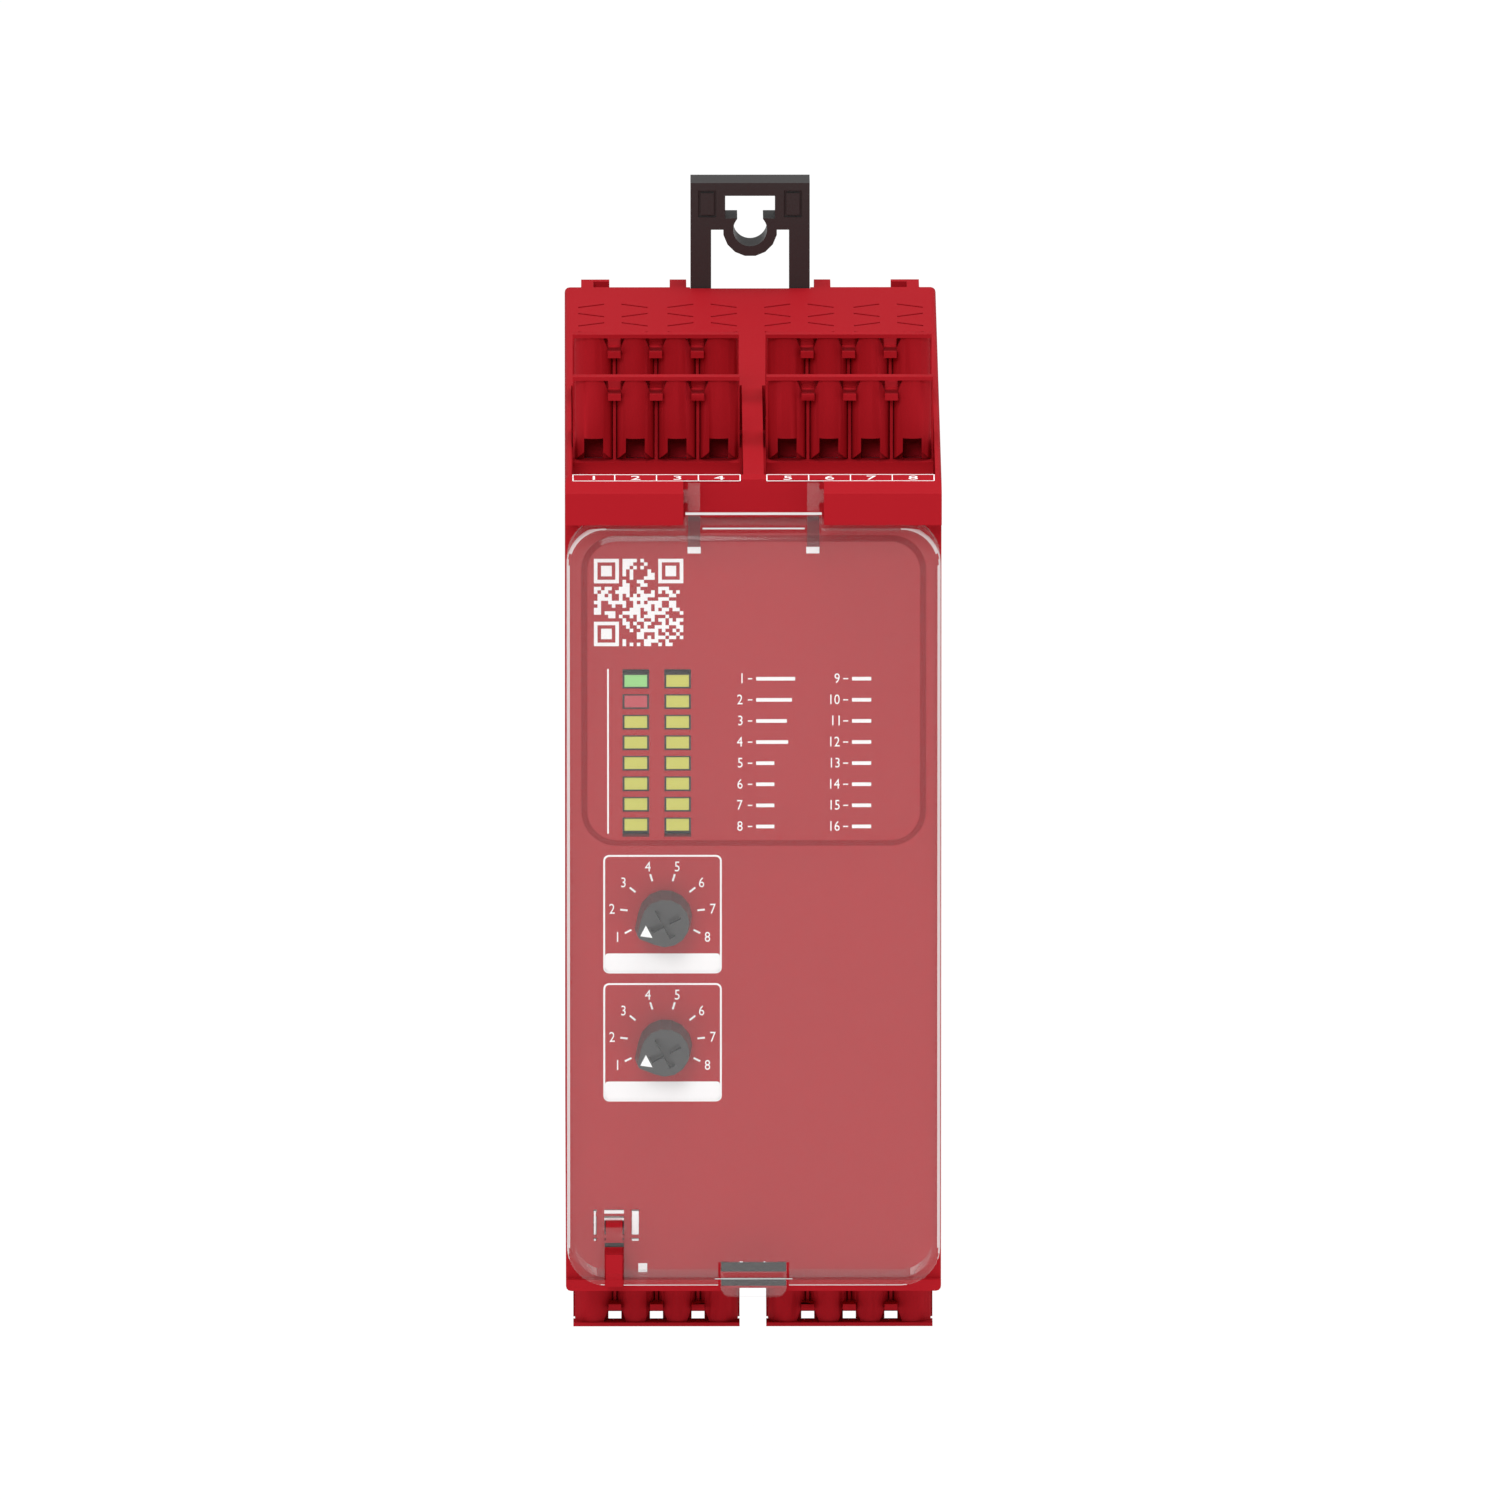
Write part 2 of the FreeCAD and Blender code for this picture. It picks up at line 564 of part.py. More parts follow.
def rail_latch():
    """Sprung latch: a nose behind the rail's lower edge and a pull bar."""
    nose_low = RAIL_EDGE + NOSE_TALL
    bar_far = HALF_H + LATCH_FOOT
    nose = box(-LUG_HALF, LUG_HALF, LUG_FRONT, RIB_OUT, RAIL_EDGE, nose_low)
    lip = box(-LUG_HALF, LUG_HALF, RAIL_SHEET + RAIL_GAP, RIB_OUT, RAIL_EDGE - HOOK_LIP, RAIL_EDGE + 0.1)
    bar = box(-LUG_HALF, LUG_HALF, LUG_FRONT, RIB_OUT, HALF_H, bar_far)
    latch_body = fused([nose, lip, bar] + slide_legs(nose_low - 0.1, HALF_H + 0.1, nose_low + 2))
    middle = HALF_H + LATCH_FOOT / 2
    slot = box(-LATCH_SLOT[0] / 2, LATCH_SLOT[0] / 2, LUG_FRONT - 1, RIB_OUT + 1,
               middle - LATCH_SLOT[1] / 2, middle + LATCH_SLOT[1] / 2)
    return upside_down(latch_body.cut(slot))


def latch_spring():
    """Folded strip spring between the nose of the latch and the stop."""
    top = -(RAIL_EDGE + NOSE_TALL)
    drop = (SPRING_LONG - SPRING_STRIP) / SPRING_FOLDS
    strips = []
    for i in range(SPRING_FOLDS):
        x = SPRING_HALF if i % 2 == 0 else -SPRING_HALF
        y = SLIDE_MIDDLE - SPRING_DEEP / 2
        z = top - drop * i
        strips.append(prism([V(x, y, z), V(-x, y, z - drop), V(-x, y, z - drop - SPRING_STRIP),
                             V(x, y, z - SPRING_STRIP)], V(0, SPRING_DEEP, 0)))
    return fused(strips)


# ---- terminal plug ---------------------------------------------------------
def plug_body(side, tier):
    """Housing of one four-pole screw plug, on the top of the relay."""
    mid = side * PLUG_CENTRE_X
    x0 = mid - PLUG_WIDE / 2
    x1 = mid + PLUG_WIDE / 2
    y0 = at(tier)
    low = TROUGH_Z
    sill = low + SILL_TALL
    top = low + PLUG_TALL
    rim = top - RIM_THICK
    tower_y = y0 + TOWER_SETBACK + TOWER_R
    fall = (PLUG_DEPTH - RIM_FLAT) * math.tan(math.radians(PLUG_SLOPE))
    side_view = [
        V(x0, tower_y, low), V(x0, tower_y, top),
        V(x0, y0 + PLUG_DEPTH, top), V(x0, y0 + PLUG_DEPTH, low),
    ]
    pieces = [
        prism(side_view, V(PLUG_WIDE, 0, 0)),
        box(x0, x1, y0, tower_y + 0.1, low, sill),
        box(x0, x1, y0, tower_y + 0.1, rim, top),
    ]
    for x in pole_xs(side):
        pieces.append(faceted_rod(TOWER_R, TOWER_SIDES, V(x, tower_y, sill - 0.1), V(x, tower_y, rim + 0.1)))
    cuts = []
    bridge_top = rim - BRIDGE_DROP
    for x in [px + POLE_PITCH / 2 for px in pole_xs(side)[:-1]]:
        web = WEB_THICK / 2
        pieces.append(box(x - web, x + web, y0 + WEB_SETBACK, tower_y + 0.1, sill, rim))
        half = BRIDGE_WIDE / 2
        pieces.append(box(x - half, x + half, y0 - BRIDGE_PROUD, tower_y + 0.1, bridge_top - BRIDGE_TALL, bridge_top))
        cuts.append(box(x - half, x + half, y0 - 1, y0 + WINDOW_DEEP, bridge_top, rim))
        cuts.append(box(x - half, x + half, y0 + WINDOW_START, y0 + WINDOW_DEEP, bridge_top, top + 1))
    slope = [
        V(x0 - 1, y0 + RIM_FLAT, top), V(x0 - 1, y0 + RIM_FLAT, top + 1),
        V(x0 - 1, y0 + PLUG_DEPTH + 1, top + 1), V(x0 - 1, y0 + PLUG_DEPTH + 1, top - fall),
        V(x0 - 1, y0 + PLUG_DEPTH, top - fall),
    ]
    cuts.append(prism(slope, V(PLUG_WIDE + 2, 0, 0)))
    for x in pole_xs(side):
        cuts += pole_cuts(x, y0, low)
    return fused(pieces).cut(cuts)


def pole_cuts(x, y0, low):
    """Wire mouth, clamp chamber and screw bore of one pole."""
    axis = y0 + SCREW_IN
    half_w = CLAMP_WIDE / 2 + 0.1
    half_d = CLAMP_DEEP / 2 + 0.1
    roof = low + CLAMP_LIFT + CLAMP_TALL + 0.1
    chamber = box(x - half_w, x + half_w, axis - half_d, axis + half_d, low - 1, roof)
    sill = low + SILL_TALL
    half = MOUTH_WIDE / 2
    mouth = box(x - half, x + half, y0 - 1, axis, sill, sill + MOUTH_TALL)
    flare = prism([V(x - MOUTH_WIDE, y0 - 1, sill), V(x + MOUTH_WIDE, y0 - 1, sill),
                   V(x + half, y0 - 1, sill + FLARE_TALL), V(x - half, y0 - 1, sill + FLARE_TALL)],
                  V(0, 1 + FLARE_DEEP, 0))
    bore = faceted_rod(BORE_R, BORE_SIDES, V(x, axis, roof - 0.1), V(x, axis, low + PLUG_TALL + 1))
    return [chamber, mouth, flare, bore]


def plug_clamps(side, tier):
    """Box clamps: short square tubes that the wires enter from the front."""
    clamps = []
    axis = at(tier + SCREW_IN)
    floor = TROUGH_Z + CLAMP_LIFT
    half = CLAMP_WIDE / 2
    deep = CLAMP_DEEP / 2
    for x in pole_xs(side):
        cage = box(x - half, x + half, axis - deep, axis + deep, floor, floor + CLAMP_TALL)
        inside = box(x - half + CLAMP_SHEET, x + half - CLAMP_SHEET, axis - deep - 1, axis + deep + 1,
                     floor + CLAMP_SHEET, floor + CLAMP_TALL - 2 * CLAMP_SHEET)
        clamps.append(cage.cut(inside))
    return Part.makeCompound(clamps)


def plug_screws(side, tier):
    """Slotted heads of the clamping screws, at the bottom of the tower bores."""
    screws = []
    axis = at(tier + SCREW_IN)
    head_z = TROUGH_Z + CLAMP_LIFT + CLAMP_TALL
    for x in pole_xs(side):
        head = faceted_rod(SCREW_HEAD_R, BORE_SIDES, V(x, axis, head_z), V(x, axis, head_z + SCREW_HEAD_TALL))
        slot = box(x - SCREW_HEAD_R, x + SCREW_HEAD_R, axis - SCREW_SLOT / 2, axis + SCREW_SLOT / 2,
                   head_z + SCREW_HEAD_TALL / 2, head_z + SCREW_HEAD_TALL + 1)
        screws.append(head.cut(slot))
    return Part.makeCompound(screws)


def plug_pins(side, tier):
    """Pin header: a strip in the trough floor with one square pin per pole."""
    half = PIN_THICK / 2
    axis = at(tier + SCREW_IN)
    strip = header_block(side, tier, CAVITY_LOW_Z, TROUGH_Z)
    pins = [box(x - half, x + half, axis - half, axis + half, TROUGH_Z - 0.1, TROUGH_Z + CLAMP_LIFT)
            for x in pole_xs(side)]
    return fused([strip] + pins)


# ---- cover -----------------------------------------------------------------
def front_cover():
    """Transparent hinged cover: tray, raised window, hinge arms, snap latch."""
    face = at(WINDOW_RAISE)
    rim = at(PANEL_IN - COVER_GAP)
    wall = COVER_WALL
    inner = COVER_HALF - wall
    tray = slab(-COVER_HALF, COVER_HALF, COVER_BOTTOM_Z, COVER_TOP_Z, COVER_CORNER, face, rim)
    front_edges = [e for e in tray.Edges if all(abs(v.Y - face) < 1e-6 for v in e.Vertexes)]
    tray = tray.makeChamfer(wall * 0.7, front_edges)
    hollow = slab(-inner, inner, COVER_BOTTOM_Z + wall, COVER_TOP_Z - 2 * wall, COVER_CORNER - wall,
                  face + wall, rim + 1)
    edge = COVER_HALF - WINDOW_MARGIN
    window_top = COVER_TOP_Z - wall
    window = slab(-edge, edge, window_top - WINDOW_TALL, window_top, WINDOW_CORNER, at(0), face + wall / 2)
    slit = box(LATCH_HALF, LATCH_HALF + LATCH_SLIT, face - 1, rim + 1, COVER_BOTTOM_Z - 1, LATCH_TOP_Z)
    foot = box(-LATCH_HALF, LATCH_HALF, face + wall, rim + 1, COVER_BOTTOM_Z - 1, COVER_BOTTOM_Z + wall + 0.1)
    notch = box(*SEAL_X, at(-1), rim + 1, COVER_BOTTOM_Z - 1, SEAL_TOP_Z)
    tray = fused([tray.cut(hollow), window]).cut([slit, left_right(slit), foot, notch] + brow_relief())
    return fused([tray] + hinge_arms(face) + latch(face) + [seal_strap(face)])


def brow_relief():
    """Hollows in the cover's top that let the brow's edge pass as it opens."""
    sweep = math.hypot(HINGE_IN, HINGE_Z - BROW_BOTTOM) + SWEEP_GAP
    start = BROW_NOTCH_HALF - COVER_GAP
    relief = faceted_rod(sweep, 2 * ROUND_SIDES, V(start, at(HINGE_IN), HINGE_Z), V(HALF_W + 1, at(HINGE_IN), HINGE_Z))
    return [relief, left_right(relief)]


def hinge_arms(face):
    """Two arms with stub pins, and the tongue between them."""
    pieces = [box(-TONGUE_HALF, TONGUE_HALF, face, face + 2 * COVER_WALL, COVER_TOP_Z - COVER_WALL,
                  COVER_TOP_Z + TONGUE_TALL)]
    for side in (-1, 1):
        x0, x1 = sorted((side * ARM_X, side * (ARM_X + ARM_WIDE)))
        pieces.append(box(x0, x1, at(HINGE_IN - ARM_R), at(HINGE_IN + ARM_R), COVER_TOP_Z - COVER_WALL, HINGE_Z))
        pieces.append(faceted_rod(ARM_R, ROUND_SIDES, V(x0, at(HINGE_IN), HINGE_Z), V(x1, at(HINGE_IN), HINGE_Z)))
        p0, p1 = sorted((side * ARM_X, side * (BROW_NOTCH_HALF + PIN_REACH)))
        pieces.append(rod(HINGE_R, V(p0, at(HINGE_IN), HINGE_Z), V(p1, at(HINGE_IN), HINGE_Z)))
    return pieces


def latch(face):
    """Springy finger tab with the hook that snaps into the panel."""
    tab = slab(-LATCH_HALF, LATCH_HALF, LATCH_BOTTOM_Z, LATCH_TOP_Z + 1, LATCH_CORNER, face, face + COVER_WALL)
    reach = at(PANEL_IN + HOOK_REACH)
    half = LATCH_HALF - HOOK_SLOT_GAP
    hook = [
        V(-half, face + COVER_WALL / 2, HOOK_Z[0]), V(-half, reach, HOOK_Z[0]),
        V(-half, reach, HOOK_Z[1]), V(-half, reach - 0.7, HOOK_Z[1] + 0.2),
        V(-half, reach - 0.7, HOOK_Z[1]), V(-half, face + COVER_WALL / 2, HOOK_Z[1]),
    ]
    return [tab, prism(hook, V(2 * half, 0, 0))]


def seal_strap(face):
    """Arched bridge of the cover over the sealing lug's step."""
    z0, z1 = STRAP_Z
    bevel = (z1 - z0) / 3
    side = [(face, z0 + bevel), (face, z1 - bevel), (face + bevel, z1), (face + 2.2, z1), (face + 2.2, z0),
            (face + bevel, z0)]
    x0 = SEAL_X[0] - 0.3
    return prism([V(x0, y, z) for y, z in side], V(SEAL_X[1] + 0.3 - x0, 0, 0))


# ---- selector knobs --------------------------------------------------------
def pointer_outline(radius, tip, y, z):
    """Outline of the knob: a round that runs out into a blunt pointer."""
    lean = math.acos(radius / tip)
    blunt = math.radians(KNOB_TIP_BLUNT)
    arc = [lean + 2 * (math.pi - lean) * i / KNOB_SIDES for i in range(KNOB_SIDES + 1)]
    spots = [(tip, -blunt), (tip, blunt)] + [(radius, a) for a in arc]
    turn = math.radians(KNOB_FIRST)
    points = [V(DIAL_X + r * math.cos(turn + a), y, z + r * math.sin(turn + a)) for r, a in spots]
    return Part.makePolygon(points + [points[0]])


def selector_knob(z):
    base_y = at(PANEL_IN - KNOB_GAP)
    face_y = at(KNOB_FACE_IN)
    draft = KNOB_BASE_R - KNOB_FACE_R
    body = Part.makeLoft([pointer_outline(KNOB_BASE_R, KNOB_TIP, base_y, z),
                          pointer_outline(KNOB_FACE_R, KNOB_TIP - draft, face_y, z)], True, True)
    shaft_end = at(PANEL_IN + WALL + SWITCH_DEEP)
    shaft = rod(SHAFT_R, V(DIAL_X, base_y - 0.5, z), V(DIAL_X, shaft_end, z))
    arm = box(-CROSS_LONG / 2, CROSS_LONG / 2, face_y - 1, face_y + CROSS_DEEP, -CROSS_WIDE / 2, CROSS_WIDE / 2)
    cuts = []
    for extra in (0, 90):
        one = arm.copy()
        one.rotate(V(0, 0, 0), V(0, -1, 0), KNOB_FIRST + extra)
        one.translate(V(DIAL_X, 0, z))
        cuts.append(one)
    return body.fuse(shaft).cut(cuts)


def rotary_switch(z):
    half = SWITCH_SIZE / 2
    y0 = at(PANEL_IN + WALL + LINER_GAP + LINER_THICK + 0.2)
    y1 = at(FRONT_BOARD_IN)
    body = box(DIAL_X - half, DIAL_X + half, y0, y1, z - half, z + half)
    end = at(PANEL_IN + WALL + SWITCH_DEEP + 0.4)
    bore = faceted_rod(SHAFT_R + SHAFT_RUN, ROUND_SIDES, V(DIAL_X, y0 - 1, z), V(DIAL_X, end, z))
    return body.cut(bore)


# ---- inner liner, indicators and boards ------------------------------------
def inner_liner():
    """Natural white liner behind the panel, with pads that fill its slots."""
    y0 = at(PANEL_IN + WALL + LINER_GAP)
    y1 = y0 + LINER_THICK
    pad_y = at(PANEL_IN + 0.5)
    wide = HALF_W - WALL - FIT
    tall = CAVITY_LOW_Z - FIT
    plate = box(-wide, wide, y0, y1, -tall, tall)
    pads = [box(SEAL_FRAME_X[0] + 0.05, SEAL_FRAME_X[1] - 0.05, pad_y, y0 + 0.1, SEAL_FRAME_Z[0] + 0.05,
                SEAL_FRAME_Z[1] - 0.05)]
    pads[0] = pads[0].cut(box(SEAL_X[0], SEAL_X[1], pad_y - 1, at(PANEL_IN + WALL), SEAL_FRAME_Z[0] - 1,
                              SEAL_TOP_Z - 1.3))
    half = HINGE_SLOT_WIDE / 2 - 0.05
    for x in (-HINGE_SLOT_X, HINGE_SLOT_X):
        z0 = HINGE_SLOT_Z[0] + 0.05
        pads.append(box(x - half, x + half, pad_y, y0 + 0.1, z0, z0 + 0.75))
    liner = fused([plate] + pads)
    half = LED_SLOT_WIDE / 2 + 0.05
    tall = LED_SLOT_TALL / 2 + 0.05
    cuts = [box(x - half, x + half, y0 - 1, y1 + 1, LED_MID_Z - tall, LED_MID_Z + tall) for x in LED_X]
    cuts += [faceted_rod(SHAFT_HOLE_R, ROUND_SIDES, V(DIAL_X, y0 - 1, z), V(DIAL_X, y1 + 1, z)) for z in DIAL_Z]
    return liner.cut(cuts)


def led_rows():
    return [LED_TOP_Z - LED_PITCH * i for i in range(LED_ROWS)]


def led_carrier(x):
    """Dark light-barrier grid in one indicator slot."""
    half = LED_SLOT_WIDE / 2
    y1 = at(FRONT_BOARD_IN) - CHIP
    tall = LED_SLOT_TALL / 2
    grid = box(x - half, x + half, at(PANEL_IN + 0.35), y1, LED_MID_Z - tall, LED_MID_Z + tall)
    cuts = [box(x - LENS_WIDE / 2, x + LENS_WIDE / 2, at(PANEL_IN), y1 + 1, z - LENS_TALL / 2, z + LENS_TALL / 2)
            for z in led_rows()]
    for end in (-1, 1):
        z0, z1 = sorted((LED_MID_Z + end * (tall + 1), LED_MID_Z + end * (tall - LED_SLOT_END * 0.8)))
        cuts.append(box(x - half - 1, x + half + 1, at(PANEL_IN), at(PANEL_IN + WALL), z0, z1))
    return grid.cut(cuts)


def led_lens(x, z):
    return box(x - LENS_WIDE / 2, x + LENS_WIDE / 2, at(PANEL_IN + 0.15), at(FRONT_BOARD_IN) - CHIP,
               z - LENS_TALL / 2, z + LENS_TALL / 2)


def lens_groups():
    rows = led_rows()
    green = [led_lens(LED_X[0], rows[0])]
    red = [led_lens(LED_X[0], rows[1])]
    yellow = [led_lens(x, z) for x in LED_X for z in rows if x != LED_X[0] or z < rows[1]]
    return green, red, yellow


def led_chips():
    half = CHIP / 2
    y1 = at(FRONT_BOARD_IN)
    return Part.makeCompound([box(x - half, x + half, y1 - CHIP, y1, z - half, z + half)
                              for x in LED_X for z in led_rows()])


def front_board():
    wide = HALF_W - WALL - BOARD_GAP
    tall = CAVITY_LOW_Z - BOARD_THICK
    y0 = at(FRONT_BOARD_IN)
    return box(-wide, wide, y0, y0 + BOARD_THICK, -tall, tall)


def terminal_board():
    """Board under the upper troughs, which carries the pin headers."""
    wide = HALF_W - WALL - BOARD_GAP
    return box(-wide, wide, at(FRONT_BOARD_IN - 3), at(TROUGH_END), CAVITY_LOW_Z - BOARD_THICK, CAVITY_LOW_Z)


def side_board(side):
    """Boards along both side walls, which carry the relays."""
    x0, x1 = sorted((side * SIDE_BOARD_X, side * (SIDE_BOARD_X + BOARD_THICK)))
    y0 = at(FRONT_BOARD_IN) + BOARD_THICK
    y1 = -BASE_FLANGE - BASE_SPIGOT - BOARD_GAP
    tall = CAVITY_LOW_Z - BOARD_THICK
    return box(x0, x1, y0, y1, -tall, tall)


def relay(index):
    """Sealed relay on a side board; two on each board."""
    side = -1 if index % 2 == 0 else 1
    thick, deep, tall = RELAY_SIZE
    x0, x1 = sorted((side * SIDE_BOARD_X, side * (SIDE_BOARD_X - thick)))
    z = RELAY_PITCH_Z * (0.5 - index // 2)
    return box(x0, x1, at(RELAY_IN), at(RELAY_IN) + deep, z - tall / 2, z + tall / 2)


# ---- build -----------------------------------------------------------------
export("housing_shell", housing_shell())
export("rear_base", rear_base())
export("front_cover", front_cover())
export("fixing_lug", fixing_lug())
export("rail_latch", rail_latch())
export("latch_spring", latch_spring())
for name, dial_z in zip(("upper", "lower"), DIAL_Z):
    export("selector_knob_" + name, selector_knob(dial_z))
    export("rotary_switch_" + name, rotary_switch(dial_z))
export("inner_liner", inner_liner())
for name, led_x in zip(("left", "right"), LED_X):
    export("led_grid_" + name, led_carrier(led_x))
green_lens, red_lens, yellow_lenses = lens_groups()
export("led_lens_green", Part.makeCompound(green_lens))
export("led_lens_red", Part.makeCompound(red_lens))
export("led_lenses_yellow", Part.makeCompound(yellow_lenses))
export("led_chips", led_chips())
export("front_board", front_board())
export("terminal_board_top", terminal_board())
export("terminal_board_bottom", upside_down(terminal_board()))
for name, side in (("left", -1), ("right", 1)):
    export("side_board_" + name, side_board(side))
for index in range(4):
    export("relay_%d" % (index + 1), relay(index))
makers = (("housing", plug_body), ("clamps", plug_clamps), ("screws", plug_screws), ("pins", plug_pins))
for tier_name, tier in zip(("front", "rear"), tier_ins()):
    for side_name, side in (("left", -1), ("right", 1)):
        for piece_name, maker in makers:
            piece = maker(side, tier)
            label = "%s_%s_%s" % (tier_name, side_name, piece_name)
            export("plug_top_" + label, piece)
            export("plug_bottom_" + label, upside_down(piece))
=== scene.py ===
import math

import bmesh
import bpy
from bpy.props import FloatProperty, FloatVectorProperty, IntProperty, PointerProperty
from mathutils import Matrix, Vector


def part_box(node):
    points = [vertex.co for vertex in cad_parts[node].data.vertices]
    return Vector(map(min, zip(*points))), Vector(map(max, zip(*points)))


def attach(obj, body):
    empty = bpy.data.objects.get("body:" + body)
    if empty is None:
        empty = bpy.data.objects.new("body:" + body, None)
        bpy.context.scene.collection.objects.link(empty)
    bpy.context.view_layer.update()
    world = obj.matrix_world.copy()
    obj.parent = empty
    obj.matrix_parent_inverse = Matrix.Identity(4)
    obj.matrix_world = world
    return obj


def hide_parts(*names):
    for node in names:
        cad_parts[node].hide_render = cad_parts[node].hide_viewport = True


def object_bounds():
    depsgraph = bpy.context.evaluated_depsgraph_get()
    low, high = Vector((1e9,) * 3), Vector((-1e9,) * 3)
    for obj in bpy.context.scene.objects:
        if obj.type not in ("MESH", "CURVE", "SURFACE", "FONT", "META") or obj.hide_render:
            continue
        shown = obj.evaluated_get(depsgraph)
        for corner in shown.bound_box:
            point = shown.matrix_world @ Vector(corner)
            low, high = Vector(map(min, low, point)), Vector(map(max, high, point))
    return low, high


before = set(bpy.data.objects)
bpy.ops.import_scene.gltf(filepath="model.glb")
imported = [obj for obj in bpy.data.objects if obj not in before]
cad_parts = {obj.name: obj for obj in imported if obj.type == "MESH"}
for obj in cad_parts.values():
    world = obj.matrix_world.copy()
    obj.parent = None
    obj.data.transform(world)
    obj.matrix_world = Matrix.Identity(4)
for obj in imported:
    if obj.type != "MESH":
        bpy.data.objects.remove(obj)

bl_info = {
    "name": "Safety Relay Finish",
    "version": (1, 0, 0),
    "blender": (4, 5, 0),
    "location": "3D View > Sidebar > Relay",
    "description": "Dresses a rail-mounted safety relay with its materials, its print and a plain studio",
    "category": "Object",
}

MM = 0.001
CAD_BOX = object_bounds()
SHELL_LOW, SHELL_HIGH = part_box("housing_shell")
MATERIALS = {}
# Terminals of one plug, and by how much a cutting solid stands past what it cuts.
POLES = 4
PAST = 1 * MM


# ---- small helpers ---------------------------------------------------------
def linear(hex_colour):
    """sRGB hex text to the linear colour that the shaders work in."""
    values = [int(hex_colour[i:i + 2], 16) / 255 for i in (1, 3, 5)]
    return tuple(v / 12.92 if v <= 0.04045 else ((v + 0.055) / 1.055) ** 2.4 for v in values)


WHITE = linear("#FFFFFF") + (1.0,)


def add(tree, kind, inputs=(), **settings):
    """Adds one node; an input is a value, or the node or socket that feeds it."""
    node = tree.nodes.new(kind)
    for key, value in settings.items():
        setattr(node, key, value)
    for socket, value in dict(inputs).items():
        if isinstance(value, bpy.types.Node):
            value = value.outputs[0]
        if isinstance(value, bpy.types.NodeSocket):
            tree.links.new(value, node.inputs[socket])
        else:
            node.inputs[socket].default_value = value
    return node


def bare_tree(owner):
    """Emptied node tree of a new material or world."""
    owner.use_nodes = True
    owner.node_tree.nodes.clear()
    return owner.node_tree


def bridged(mesh, near, far):
    """Adds the quads between two loops of as many vertices."""
    for i in range(len(near)):
        j = (i + 1) % len(near)
        mesh.faces.new((near[j], near[i], far[i], far[j]))


def plate(mesh, outline, front, back):
    """Adds a flat prism to a bmesh: an XZ outline, anticlockwise from the front."""
    near, far = [[mesh.verts.new((x, y, z)) for x, z in outline] for y in (front, back)]
    mesh.faces.new(near)
    mesh.faces.new(list(reversed(far)))
    bridged(mesh, near, far)


def ring(mesh, outer, inner, front, back):
    """Adds a flat frame between two outlines of as many points."""
    loops = [[mesh.verts.new((x, y, z)) for x, z in line] for y in (front, back) for line in (outer, inner)]
    out_near, in_near, out_far, in_far = loops
    for near, far in ((in_near, out_near), (out_far, in_far), (out_near, out_far), (in_far, in_near)):
        bridged(mesh, near, far)


def rounded(x0, x1, z0, z1, radius, steps=5):
    """Outline of a rectangle with round corners, anticlockwise from the front."""
    points = []
    corners = ((x1 - radius, z0 + radius, -90), (x1 - radius, z1 - radius, 0),
               (x0 + radius, z1 - radius, 90), (x0 + radius, z0 + radius, 180))
    for cx, cz, start in corners:
        for i in range(steps + 1):
            a = math.radians(start + 90 * i / steps)
            points.append((cx + radius * math.cos(a), cz + radius * math.sin(a)))
    return points


def bar(x0, x1, z0, z1):
    return [(x0, z0), (x1, z0), (x1, z1), (x0, z1)]


def numeral(mesh, text, x, z, cap, front, back, share=0.5, squeeze=0.86):
    """Adds a plain number with its foot at z and `share` of its width left of x."""
    curve = bpy.data.curves.new("numeral", "FONT")
    curve.body = text
    curve.resolution_u = 3
    curve.fill_mode = "FRONT"
    holder = bpy.data.objects.new("numeral", curve)
    bpy.context.scene.collection.objects.link(holder)
    glyphs = bpy.data.meshes.new_from_object(holder.evaluated_get(bpy.context.evaluated_depsgraph_get()))
    xs = [v.co.x for v in glyphs.vertices]
    ys = [v.co.y for v in glyphs.vertices]
    scale = cap / (max(ys) - min(ys))
    start = x - (max(xs) - min(xs)) * scale * squeeze * share
    fresh = bmesh.new()
    fresh.from_mesh(glyphs)
    for v in fresh.verts:
        v.co = Vector((start + (v.co.x - min(xs)) * scale * squeeze, front, z + (v.co.y - min(ys)) * scale))
    thick = bmesh.ops.extrude_face_region(fresh, geom=fresh.faces[:])
    for item in thick["geom"]:
        if isinstance(item, bmesh.types.BMVert):
            item.co.y = back
    bmesh.ops.recalc_face_normals(fresh, faces=fresh.faces)
    fresh.to_mesh(glyphs)
    fresh.free()
    mesh.from_mesh(glyphs)
    bpy.data.objects.remove(holder)
    bpy.data.meshes.remove(glyphs)
    bpy.data.curves.remove(curve)


def block(x0, x1, y0, y1, z0, z1, soft=0.0):
    """Closed box; its edges are rounded by `soft`."""
    mesh = bmesh.new()
    middle = Matrix.Translation(((x0 + x1) / 2, (y0 + y1) / 2, (z0 + z1) / 2))
    bmesh.ops.create_cube(mesh, size=1.0, matrix=middle @ Matrix.Diagonal((x1 - x0, y1 - y0, z1 - z0, 1.0)))
    if soft:
        bmesh.ops.bevel(mesh, geom=mesh.edges[:], offset=soft, segments=2, profile=0.5, affect="EDGES")
    return mesh


def post(radius, start, end, sides=40):
    """Closed round rod between two points."""
    mesh = bmesh.new()
    start = Vector(start)
    line = Vector(end) - start
    turn = line.to_track_quat("Z", "Y").to_matrix().to_4x4()
    bmesh.ops.create_cone(mesh, cap_ends=True, segments=sides, radius1=radius, radius2=radius,
                          depth=line.length, matrix=Matrix.Translation(start + line / 2) @ turn)
    return mesh


